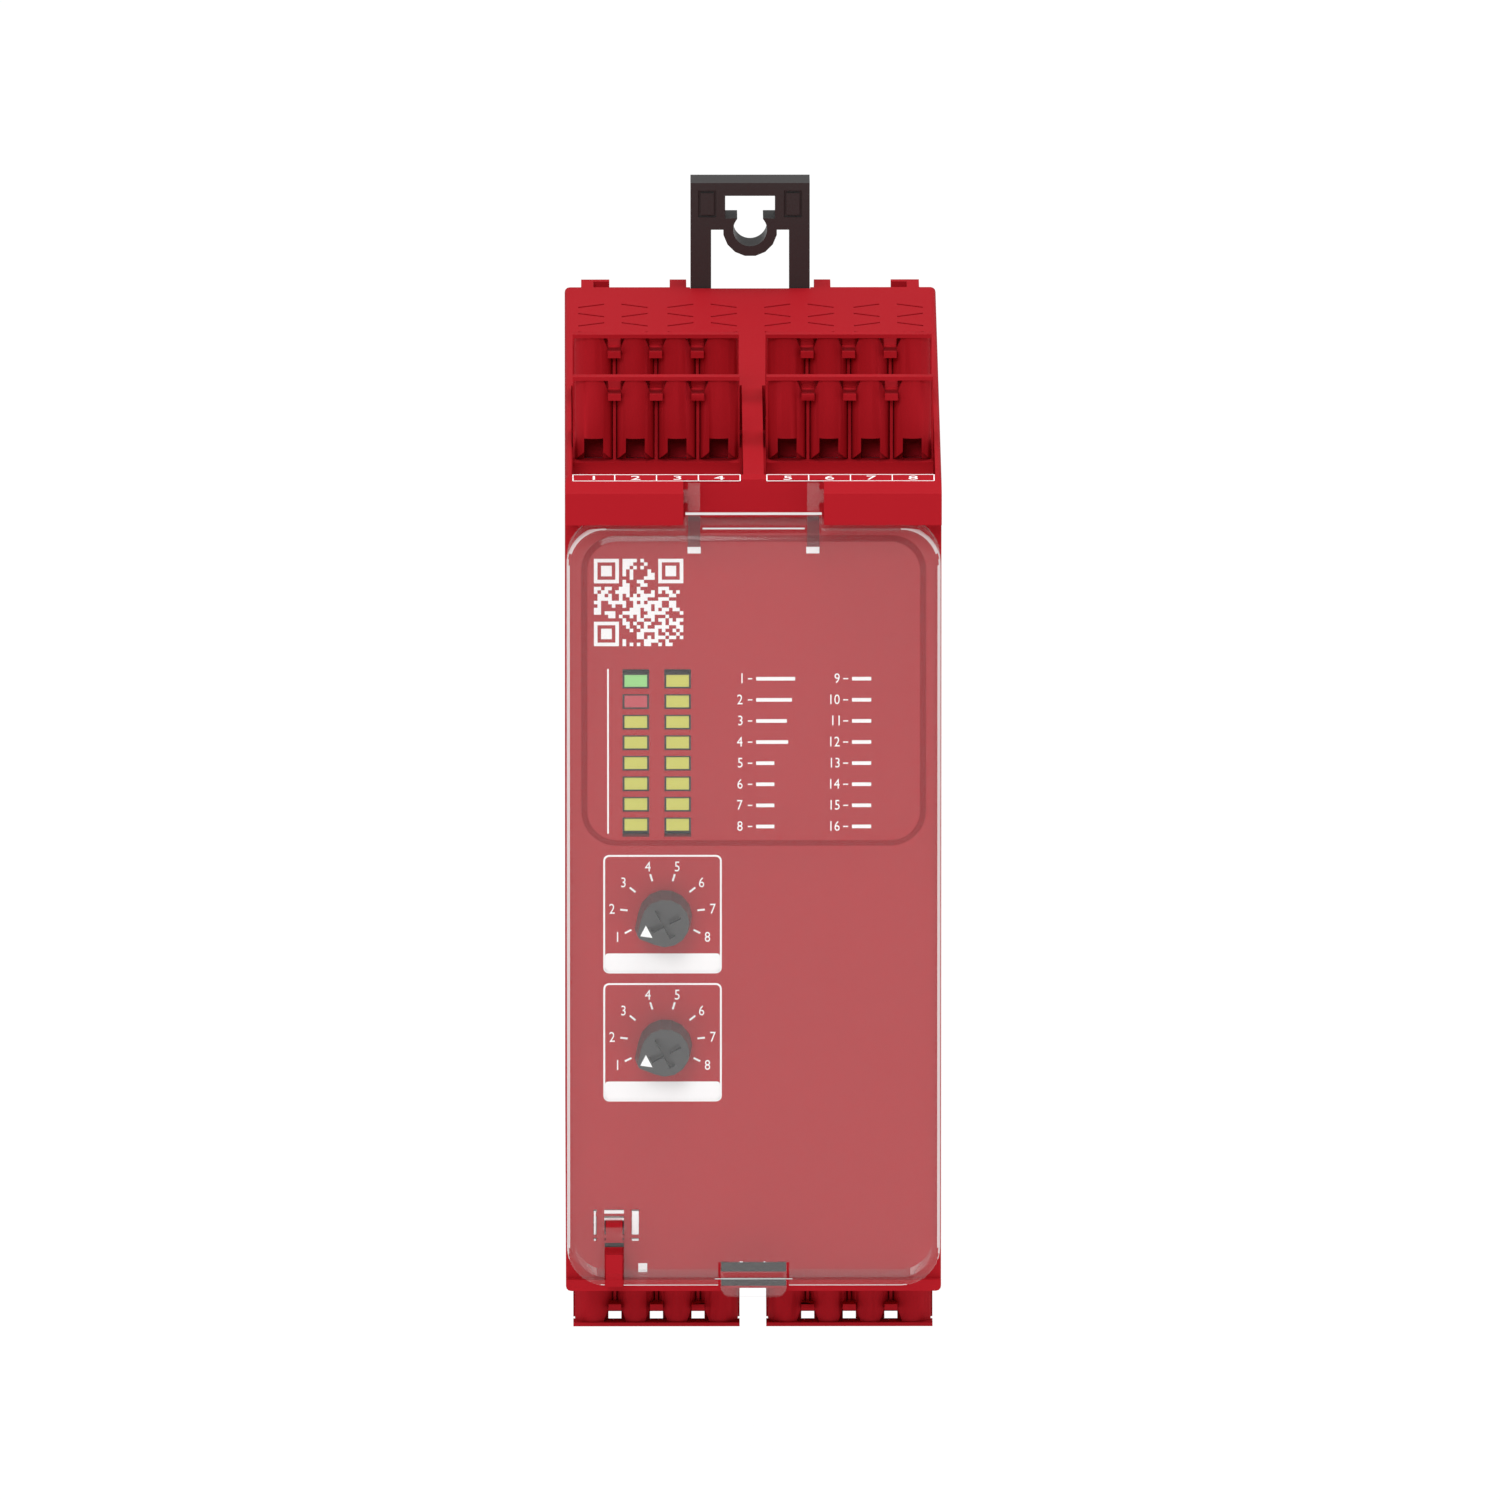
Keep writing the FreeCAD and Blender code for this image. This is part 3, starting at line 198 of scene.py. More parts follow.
def closed(loops):
    """Closed solid through loops of as many points, from one end to the other."""
    mesh = bmesh.new()
    loops = [[mesh.verts.new(point) for point in loop] for loop in loops]
    mesh.faces.new(loops[0])
    mesh.faces.new(list(reversed(loops[-1])))
    for near, far in zip(loops, loops[1:]):
        bridged(mesh, near, far)
    bmesh.ops.recalc_face_normals(mesh, faces=mesh.faces)
    return mesh


def lofted(rings):
    """Closed solid through XZ outlines: (outline, y), front to back."""
    return closed([[(x, y, z) for x, z in outline] for outline, y in rings])


def wedge(points, x0, x1):
    """Closed prism along X over a YZ outline."""
    return closed([[(x, y, z) for y, z in points] for x in (x0, x1)])


def settled(name, mesh):
    """Mesh data of a bmesh, which is freed."""
    data = bpy.data.meshes.new(name)
    mesh.to_mesh(data)
    mesh.free()
    return data


def stood(name, mesh):
    """Object of a bmesh, which is freed."""
    made = bpy.data.objects.new(name, settled(name, mesh))
    bpy.context.scene.collection.objects.link(made)
    return made


def final_mesh(host):
    """Mesh of an object after its modifiers."""
    bpy.context.view_layer.update()
    return bpy.data.meshes.new_from_object(host.evaluated_get(bpy.context.evaluated_depsgraph_get()))


def built(name, base, added=(), removed=(), soft=0.0, angle=35.0):
    """Joins and cuts closed solids, rounds the sharp edges, returns a mesh."""
    host = stood(name, base)
    tools = []
    for operation, parts in (("UNION", added), ("DIFFERENCE", removed)):
        for part in parts:
            tools.append(stood(name, part))
            cut = host.modifiers.new("Cut", "BOOLEAN")
            cut.operation = operation
            cut.solver = "MANIFOLD"
            cut.object = tools[-1]
    if soft:
        rounding = host.modifiers.new("Round", "BEVEL")
        rounding.width = soft
        rounding.segments = 2
        rounding.limit_method = "ANGLE"
        rounding.angle_limit = math.radians(angle)
        rounding.harden_normals = False
    data = final_mesh(host)
    for made in (host, *tools):
        bpy.data.objects.remove(made)
    data.shade_smooth()
    data.set_sharp_from_angle(angle=math.radians(angle))
    data.name = name
    return data


def piece(name, mesh, material, body="housing"):
    """Turns a bmesh into a finished piece that rides on a body."""
    return placed(name, settled(name, mesh), material, body)


def placed(name, data, material, body):
    data.materials.clear()
    data.materials.append(MATERIALS[material])
    made = bpy.data.objects.new(name, data)
    bpy.context.scene.collection.objects.link(made)
    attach(made, body)
    return made


def grown(name, tree, values, material, body="housing"):
    """Runs a node tree on an empty mesh and keeps the plain result as a piece."""
    host = stood(name + "_host", bmesh.new())
    modifier = host.modifiers.new("Grow", "NODES")
    modifier.node_group = tree
    for item in tree.interface.items_tree:
        if item.in_out == "INPUT" and item.name in values:
            modifier[item.identifier] = values[item.name]
    data = final_mesh(host)
    bpy.data.objects.remove(host)
    data.name = name
    return placed(name, data, material, body)


def tree_with(name, inputs):
    """New geometry tree and its inputs: (name, socket type, default)."""
    tree = bpy.data.node_groups.new(name, "GeometryNodeTree")
    for label, kind, default in inputs:
        socket = tree.interface.new_socket(label, in_out="INPUT", socket_type="NodeSocket" + kind)
        socket.default_value = default
    tree.interface.new_socket("Geometry", in_out="OUTPUT", socket_type="NodeSocketGeometry")
    return tree, add(tree, "NodeGroupInput").outputs


def closed_tree(tree, last, material):
    """Ends a tree: real geometry, its material, the output."""
    real = add(tree, "GeometryNodeRealizeInstances", {"Geometry": last})
    painted = add(tree, "GeometryNodeSetMaterial", {"Material": MATERIALS[material], "Geometry": real})
    add(tree, "NodeGroupOutput", {"Geometry": painted})
    return tree


# ---- sizes and colours -----------------------------------------------------
def length(name, description, millimetres):
    return FloatProperty(name=name, description=description, default=millimetres * MM, unit="LENGTH",
                         precision=5)


def colour(name, description, hex_colour):
    return FloatVectorProperty(name=name, description=description, default=linear(hex_colour),
                               subtype="COLOR", size=3, min=0, max=1)


class RelayPrintSizes(bpy.types.PropertyGroup):
    """Sizes of the print on the panel and the terminal ledge."""
    panel_depth: length("Panel depth", "Foremost plane of the housing to the front panel", 6.0)
    ink: length("Ink", "Thickness of the printed ink", 0.03)
    code_side: length("Code side", "Side of the square code pattern", 10.7)
    code_left: length("Code left", "Left edge of the code pattern", -19.1)
    code_top: length("Code top", "Top edge of the code pattern", 39.7)
    code_cells: IntProperty(name="Code cells", description="Cells along one side of the code", default=25,
                            min=11)
    code_seed: IntProperty(name="Code seed", description="Seed of the code's random cells", default=7)
    rule_x: length("Rule place", "Middle of the upright rule beside the indicators", -17.42)
    legend_top: length("Legend top", "Foot of the first legend row", 24.45)
    legend_pitch: length("Legend pitch", "From one legend row to the next", 2.589)
    legend_cap: length("Legend height", "Height of the legend's numbers", 1.2)
    dial_shift: length("Dial shift", "Middle of a dial scale left of its switch", -0.3)
    upper_lift: length("Upper dial lift", "Middle of the upper scale above its switch", 0.2)
    lower_lift: length("Lower dial lift", "Middle of the lower scale above its switch", 0.35)
    tick_in: length("Tick start", "Inner end of a scale tick from the middle", 4.2)
    tick_out: length("Tick end", "Outer end of a scale tick from the middle", 5.1)
    number_radius: length("Number radius", "Middle of a dial's number from the middle", 6.08)
    pole_pitch: length("Pole pitch", "From one terminal to the next", 5.0)
    lens_pitch: length("Lens pitch", "From one indicator lens to the next", 2.519)
    lens_top: length("First lens", "Middle of the first indicator lens", 24.69)
    lens_slot: length("Lens slot", "Width of the indicators' slot", 3.3)


class RelayPlugSizes(bpy.types.PropertyGroup):
    """Sizes of a four-pole screw plug."""
    depth: length("Depth", "Front to back", 8.0)
    tall: length("Height", "Foot to rim", 13.9)
    sill: length("Sill", "Plain strip below the wire mouths", 3.4)
    rim: length("Rim", "Thickness of the rim at the front", 0.46)
    rim_flat: length("Rim flat", "Flat part of the rim ahead of the rear slope", 1.5)
    tower_radius: length("Tower radius", "Radius of a pole's round tower", 2.3)
    tower_setback: length("Tower setback", "Tower behind the plug's front", 0.3)
    mouth_wide: length("Mouth width", "Wire mouth across", 2.27)
    mouth_tall: length("Mouth height", "Wire mouth upright", 2.84)
    flare_tall: length("Flare height", "Sloping sides that lead into the mouth", 1.16)
    flare_deep: length("Flare depth", "How far the flare cuts in", 2.6)
    bridge_wide: length("Bridge width", "Small bridge between two towers", 1.55)
    bridge_tall: length("Bridge height", "Small bridge between two towers", 0.75)
    bridge_drop: length("Bridge drop", "From the rim down to the bridge", 1.6)
    bridge_proud: length("Bridge proud", "Bridge ahead of the plug's front", 0.45)
    hood_wide: length("Hood width", "Recess above a bridge, at the rim", 2.7)
    hood_deep: length("Hood depth", "How far the recess above a bridge cuts in", 3.4)
    bore_radius: length("Bore radius", "Screwdriver bore", 1.4)
    screw_in: length("Screw place", "Screw axis behind the plug's front", 3.4)
    edge: length("Edge", "Rounding of the moulded edges", 0.04)


class RelayCoverSizes(bpy.types.PropertyGroup):
    """Sizes of the clear hinged cover."""
    side_gap: length("Side gap", "Cover inside the width of the housing", 0.13)
    from_top: length("From top", "Top of the cover below the housing's top", 5.15)
    from_bottom: length("From bottom", "Foot of the cover above the housing's foot", 1.6)
    wall: length("Wall", "Thickness of the cover", 0.9)
    corner: length("Corner", "Corner radius from the front", 4.75)
    edge: length("Edge", "Rounding between the face and the sides", 0.75)
    rim_in: length("Rim depth", "Rear edge of the cover behind its window", 5.75)
    window_raise: length("Window raise", "Window ahead of the cover's face", 0.3)
    window_margin: length("Window margin", "Window inside the cover's edge", 1.6)
    window_tall: length("Window height", "Height of the raised window", 38.3)
    window_corner: length("Window corner", "Corner radius of the window", 4.4)
    window_soft: length("Window border", "Width of the soft border of the window", 1.0)
    hinge_in: length("Hinge depth", "Hinge axis behind the window", 2.6)
    hinge_drop: length("Hinge drop", "Hinge axis below the housing's top", 1.9)
    hinge_radius: length("Pin radius", "Radius of a hinge pin", 0.8)
    arm_radius: length("Arm radius", "Round end of a hinge arm", 1.6)
    arm_x: length("Arm place", "Inner side of a hinge arm from the middle", 6.4)
    arm_wide: length("Arm width", "Hinge arm across", 1.45)
    pin_end: length("Pin end", "End of a hinge pin from the middle", 9.4)
    tongue_half: length("Tongue half width", "Tongue between the hinge arms", 8.15)
    tongue_tall: length("Tongue height", "Tongue above the cover's top", 1.75)
    brow_gap: length("Brow gap", "Brow's lower edge above the cover's top", 0.25)
    latch_half: length("Latch half width", "Finger tab from the middle to its side", 3.95)
    latch_above: length("Latch top", "Tab's slits above the cover's foot", 3.05)
    latch_below: length("Latch foot", "Tab below the cover's foot", 1.29)
    latch_slit: length("Latch slit", "Slit beside the tab", 0.3)
    seal_near: length("Seal notch near", "Notch's outer side from the housing's side", 4.63)
    seal_far: length("Seal notch far", "Notch's inner side from the housing's side", 6.94)
    seal_tall: length("Seal notch height", "Top of the notch above the cover's foot", 8.25)
    strap_low: length("Strap foot", "Strap's lower edge above the cover's foot", 4.8)
    strap_high: length("Strap top", "Strap's upper edge above the cover's foot", 6.8)


class RelayColours(bpy.types.PropertyGroup):
    """Colours of the relay's main pieces."""
    case_red: colour("Case", "Moulded housing and plugs", "#AE1B25")
    lug_black: colour("Lug", "Fixing lug and rail latch", "#282424")
    knob_grey: colour("Knobs", "Selector knobs", "#343434")
    lens_yellow: colour("Yellow lenses", "State indicators", "#CBCB52")
    lens_green: colour("Green lens", "Power indicator", "#96DA80")
    lens_red: colour("Red lens", "Error indicator", "#C23A48")


def moulded(name, tone, roughness, grain_mm, bump, speck=0.03, **sockets):
    """Moulded plastic: a tone with faint flow marks and the grain of its tool."""
    material = bpy.data.materials.new(name)
    tree = bare_tree(material)
    place = add(tree, "ShaderNodeTexCoord").outputs["Object"]
    flow_mm = 18
    grain_deep = 0.02 * MM
    flow = add(tree, "ShaderNodeTexNoise", {"Scale": 1 / (flow_mm * MM), "Detail": 3.0, "Roughness": 0.5,
                                            "Vector": place}).outputs["Fac"]
    grain = add(tree, "ShaderNodeTexNoise", {"Scale": 1 / (grain_mm * MM), "Detail": 2.0, "Roughness": 0.6,
                                             "Vector": place}).outputs["Fac"]
    dark = tuple(c * (1 - speck * 2) for c in tone) + (1.0,)
    light = tuple(min(1.0, c * (1 + speck)) for c in tone) + (1.0,)
    shade = add(tree, "ShaderNodeMix", {0: flow, 6: dark, 7: light}, data_type="RGBA")
    gloss = add(tree, "ShaderNodeMapRange", {"To Min": roughness - 0.05, "To Max": roughness + 0.05,
                                             "Value": grain})
    relief = add(tree, "ShaderNodeBump", {"Strength": bump, "Distance": grain_deep, "Height": grain})
    shader = add(tree, "ShaderNodeBsdfPrincipled", {"Base Color": shade.outputs[2], "Roughness": gloss,
                                                    "Normal": relief, **sockets})
    add(tree, "ShaderNodeOutputMaterial", {"Surface": shader})
    MATERIALS[name] = material


def metal(name, tone, roughness, grain_mm):
    """Plated metal with the faint grain of its drawing."""
    moulded(name, tone, roughness, grain_mm, 0.3, 0.06, Metallic=1.0)


def clear_cover():
    """Clear polycarbonate: a pale veil that thickens towards glancing edges."""
    material = bpy.data.materials.new("clear_polycarbonate")
    tree = bare_tree(material)
    haze_mm = 9
    place = add(tree, "ShaderNodeTexCoord").outputs["Object"]
    haze = add(tree, "ShaderNodeTexNoise", {"Scale": 1 / (haze_mm * MM), "Detail": 2.0, "Vector": place})
    gloss = add(tree, "ShaderNodeMapRange", {"To Min": 0.04, "To Max": 0.09, "Value": haze.outputs["Fac"]})
    edge = add(tree, "ShaderNodeLayerWeight", {"Blend": 0.5}).outputs["Facing"]
    steep = add(tree, "ShaderNodeMath", {0: edge, 1: 18.0}, operation="POWER")
    veil = add(tree, "ShaderNodeMapRange", {"To Min": 0.045, "To Max": 0.9, "Value": steep})
    shader = add(tree, "ShaderNodeBsdfPrincipled", {"Base Color": WHITE, "IOR": 1.58, "Roughness": gloss,
                                                    "Alpha": veil})
    add(tree, "ShaderNodeOutputMaterial", {"Surface": shader})
    MATERIALS["clear_polycarbonate"] = material


def sheer(name, tone, cover, roughness):
    """See-through plastic of one strength, with a faint haze in its gloss."""
    moulded(name, linear(tone), roughness, 6.0, 0.0, 0.01, IOR=1.58, Alpha=cover)


NODE_FINISH = (
    ("plug_", "_housing", "spark_eroded_red_pbt"), ("plug_", "_clamps", "zinc_plated_steel"),
    ("plug_", "_screws", "zinc_plated_steel"), ("plug_", "_pins", "tinned_brass"),
    ("housing_shell", "", "spark_eroded_red_pbt"), ("rear_base", "", "spark_eroded_red_pbt"),
    ("front_cover", "", "clear_polycarbonate"), ("selector_knob", "", "satin_grey_abs"),
    ("fixing_lug", "", "moulded_black_polyamide"), ("rail_latch", "", "moulded_black_polyamide"),
    ("latch_spring", "", "zinc_plated_steel"), ("inner_liner", "", "natural_white_pbt"),
    ("led_chips", "", "natural_white_pbt"), ("led_grid", "", "dark_switch_pbt"),
    ("rotary_switch", "", "dark_switch_pbt"), ("led_lenses_yellow", "", "diffused_yellow_lens"),
    ("led_lens_green", "", "diffused_green_lens"), ("led_lens_red", "", "diffused_red_lens"),
    ("front_board", "", "green_solder_mask"), ("side_board", "", "green_solder_mask"),
    ("terminal_board", "", "green_solder_mask"), ("relay_", "", "satin_relay_case"),
)


class RELAY_OT_finishes(bpy.types.Operator):
    """Makes the materials and gives every moulded or metal piece its own"""
    bl_idname = "relay.finishes"
    bl_label = "Finishes"

    def execute(self, context):
        paint = context.scene.relay_colours
        dull = {"Specular IOR Level": 0.03}
        # Glass-fibre PBT from a spark-eroded tool: fine matt grain, an even dull sheen.
        moulded("spark_eroded_red_pbt", tuple(paint.case_red), 0.62, 0.35, 0.1, 0.02, IOR=1.5, **dull)
        # Polyamide lug: slightly oily black that greys where light grazes it.
        moulded("moulded_black_polyamide", tuple(paint.lug_black), 0.48, 0.4, 0.35, IOR=1.53)
        # Satin ABS knob: soft highlight along its cone.
        moulded("satin_grey_abs", tuple(paint.knob_grey), 0.38, 0.3, 0.2, IOR=1.53)
        # Uncoloured PBT: warm white, dull.
        moulded("natural_white_pbt", linear("#F4F4F1"), 0.6, 0.4, 0.2, 0.01)
        # Near-black PBT of switches and light grids.
        moulded("dark_switch_pbt", linear("#2A2424"), 0.55, 0.3, 0.3)
        # Frosted lenses: even colour with a soft gloss, as light pipes look unlit.
        moulded("diffused_yellow_lens", tuple(paint.lens_yellow), 0.3, 0.5, 0.1, 0.02)
        moulded("diffused_green_lens", tuple(paint.lens_green), 0.3, 0.5, 0.1, 0.02)
        moulded("diffused_red_lens", tuple(paint.lens_red), 0.3, 0.5, 0.1, 0.02)
        # Zinc plating over steel: bright with a faint drawn grain.
        metal("zinc_plated_steel", linear("#C9CACC"), 0.32, 0.25)
        # Tin over brass on the header pins: warmer and smoother.
        metal("tinned_brass", linear("#D8D2BE"), 0.28, 0.25)
        # Solder mask: glossy green lacquer over glass cloth.
        moulded("green_solder_mask", linear("#1F5A38"), 0.3, 0.8, 0.25)
        # Potted relay case: satin, dark blue.
        moulded("satin_relay_case", linear("#26365C"), 0.4, 0.35, 0.25)
        # Pad-printed white ink: opaque, a little rougher than the plastic.
        moulded("white_pad_ink", linear("#FFFFFF"), 0.55, 0.2, 0.1, 0.0)
        clear_cover()
        # Rounded edge of the clear cover: a white sheet laid on its edge faces as a painted highlight.
        sheer("painted_highlight_edge", "#FFFFFF", 0.62, 0.1)
        # Tongue and foot of the cover: clearer than its flat walls, with a dark tint as painted shade.
        sheer("painted_shade_tongue_foot", "#40282A", 0.09, 0.08)
        # Bend around the cover's window and the strips over the arm roots: a darker tint as painted shade.
        sheer("painted_shade_tint", "#5A4648", 0.33, 0.08)
        # Dark plates behind the finger tab and under the sealing strap: painted shade.
        sheer("painted_shade_plate", "#0E0808", 0.93, 0.3)
        for name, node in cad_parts.items():
            finish = [m for start, end, m in NODE_FINISH if name.startswith(start) and name.endswith(end)]
            if not finish:
                raise RuntimeError("no finish for " + name)
            node.data.materials.clear()
            node.data.materials.append(MATERIALS[finish[0]])
        return {"FINISHED"}


# ---- smooth stand-ins for the moulded pieces ------------------------------
def swapped(name, data, material, node, body):
    """Places a mesh that stands for a CAD node of the same form."""
    made = placed(name, data, material, body)
    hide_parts(node)
    return made


class RELAY_OT_plugs(bpy.types.Operator):
    """Moulds the eight screw plugs with round towers and soft edges"""
    bl_idname = "relay.plugs"
    bl_label = "Screw plugs"

    # Web behind a bridge, chamber of a box clamp and its bore.
    slope_degrees = 30
    web_half = 0.18 * MM
    web_in = 1.6 * MM
    hood_in = 2 * MM
    chamber_half = 1.7 * MM
    chamber_gap = 0.1 * MM
    chamber_top = 7.1 * MM
    bore_foot = 7 * MM

    def execute(self, context):
        sizes = context.scene.relay_plug
        pitch = context.scene.relay_sizes.pole_pitch
        plug = self.moulding(sizes, pitch)
        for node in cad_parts:
            if not (node.startswith("plug_") and node.endswith("_housing")):
                continue
            low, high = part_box(node)
            up = 1 if "_top_" in node else -1
            foot = low[2] if up == 1 else high[2]
            data = plug.copy()
            place = Matrix.Translation(((low[0] + high[0]) / 2, high[1] - sizes.depth, foot))
            data.transform(place @ Matrix.Diagonal((1, 1, up, 1)))
            if up == -1:
                data.flip_normals()
            swapped(node.replace("_housing", "_moulding"), data, "spark_eroded_red_pbt", node, "housing")
        bpy.data.meshes.remove(plug)
        return {"FINISHED"}

    def moulding(self, sizes, pitch):
        """One plug, its foot at Z 0, its front at Y 0 and its middle at X 0."""
        over = 0.05 * MM
        half = POLES * pitch / 2
        top = sizes.tall
        under = top - sizes.rim
        tower_y = sizes.tower_setback + sizes.tower_radius
        fall = (sizes.depth - sizes.rim_flat) * math.tan(math.radians(self.slope_degrees))
        base = wedge([(tower_y, 0), (sizes.depth, 0), (sizes.depth, top), (tower_y, top)], -half, half)
        lid = wedge([(0, under), (tower_y + over, under), (tower_y + over, top), (0, top)], -half, half)
        slope = wedge([(sizes.rim_flat, top), (sizes.depth, top - fall), (sizes.depth + PAST, top - fall),
                       (sizes.depth + PAST, top + PAST), (sizes.rim_flat, top + PAST)],
                      -half - PAST, half + PAST)
        sill = block(-half, half, 0, tower_y + over, 0, sizes.sill)
        added = [sill, lid]
        removed = [slope]
        poles = [(i - (POLES - 1) / 2) * pitch for i in range(POLES)]
        for x in poles:
            added.append(post(sizes.tower_radius, (x, tower_y, sizes.sill - over),
                              (x, tower_y, under + over), 48))
        bridge_top = under - sizes.bridge_drop
        b = sizes.bridge_wide / 2
        wide = sizes.hood_wide / 2
        for x in [p + pitch / 2 for p in poles[:-1]]:
            added.append(block(x - self.web_half, x + self.web_half, self.web_in, tower_y + over,
                               sizes.sill - over, under + over))
            added.append(block(x - b, x + b, -sizes.bridge_proud, tower_y + over,
                               bridge_top - sizes.bridge_tall, bridge_top))
            removed.append(block(x - b, x + b, -PAST, sizes.hood_deep, bridge_top, under))
            hood = [(x - b, bridge_top + over), (x + b, bridge_top + over), (x + wide, under),
                    (x - wide, under)]
            removed.append(lofted([(hood, -PAST), (hood, self.hood_in)]))
        for x in poles:
            removed += self.pole_hollows(sizes, x)
        return built("plug_moulding", base, added, removed, sizes.edge, 25.0)

    def pole_hollows(self, sizes, x):
        """Wire mouth with its flare, clamp chamber and screw bore of one pole."""
        m = sizes.mouth_wide / 2
        c = self.chamber_half
        axis = sizes.screw_in
        sill = sizes.sill
        flare = [(x - 2 * m, sill), (x + 2 * m, sill), (x + m, sill + sizes.flare_tall),
                 (x - m, sill + sizes.flare_tall)]
        return [
            lofted([(flare, -PAST), (flare, sizes.flare_deep)]),
            block(x - m, x + m, -PAST, axis, sill, sill + sizes.mouth_tall),
            block(x - c, x + c, sizes.flare_deep + self.chamber_gap, axis + c, -PAST, self.chamber_top),
            post(sizes.bore_radius, (x, axis, self.bore_foot), (x, axis, sizes.tall + PAST), 32),
        ]


class RELAY_OT_clamps(bpy.types.Operator):
    """Folds the box clamps behind the wire mouths"""
    bl_idname = "relay.clamps"
    bl_label = "Box clamps"

    gap = 0.2 * MM
    half = 1.6 * MM
    inner_half = 1.25 * MM
    floor = 0.6 * MM
    lid = 1.2 * MM

    def execute(self, context):
        sizes = context.scene.relay_plug
        pitch = context.scene.relay_sizes.pole_pitch
        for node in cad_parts:
            if not node.endswith("_clamps"):
                continue
            low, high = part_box(node)
            plug_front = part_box(node.replace("_clamps", "_housing"))[1][1] - sizes.depth
            front = plug_front + (sizes.flare_deep + self.gap)
            back = plug_front + (sizes.screw_in + self.half)
            middle = (low[0] + high[0]) / 2
            cages = bmesh.new()
            for i in range(POLES):
                x = middle + (i - (POLES - 1) / 2) * pitch
                outside = block(x - self.half, x + self.half, front, back, low[2], high[2])
                inside = block(x - self.inner_half, x + self.inner_half, front - PAST, back + PAST,
                               low[2] + self.floor, high[2] - self.lid)
                cage = built("cage", outside, (), [inside], 0.08 * MM)
                cages.from_mesh(cage)
                bpy.data.meshes.remove(cage)
            swapped(node + "_folded", settled(node + "_folded", cages), "zinc_plated_steel", node, "housing")
        return {"FINISHED"}


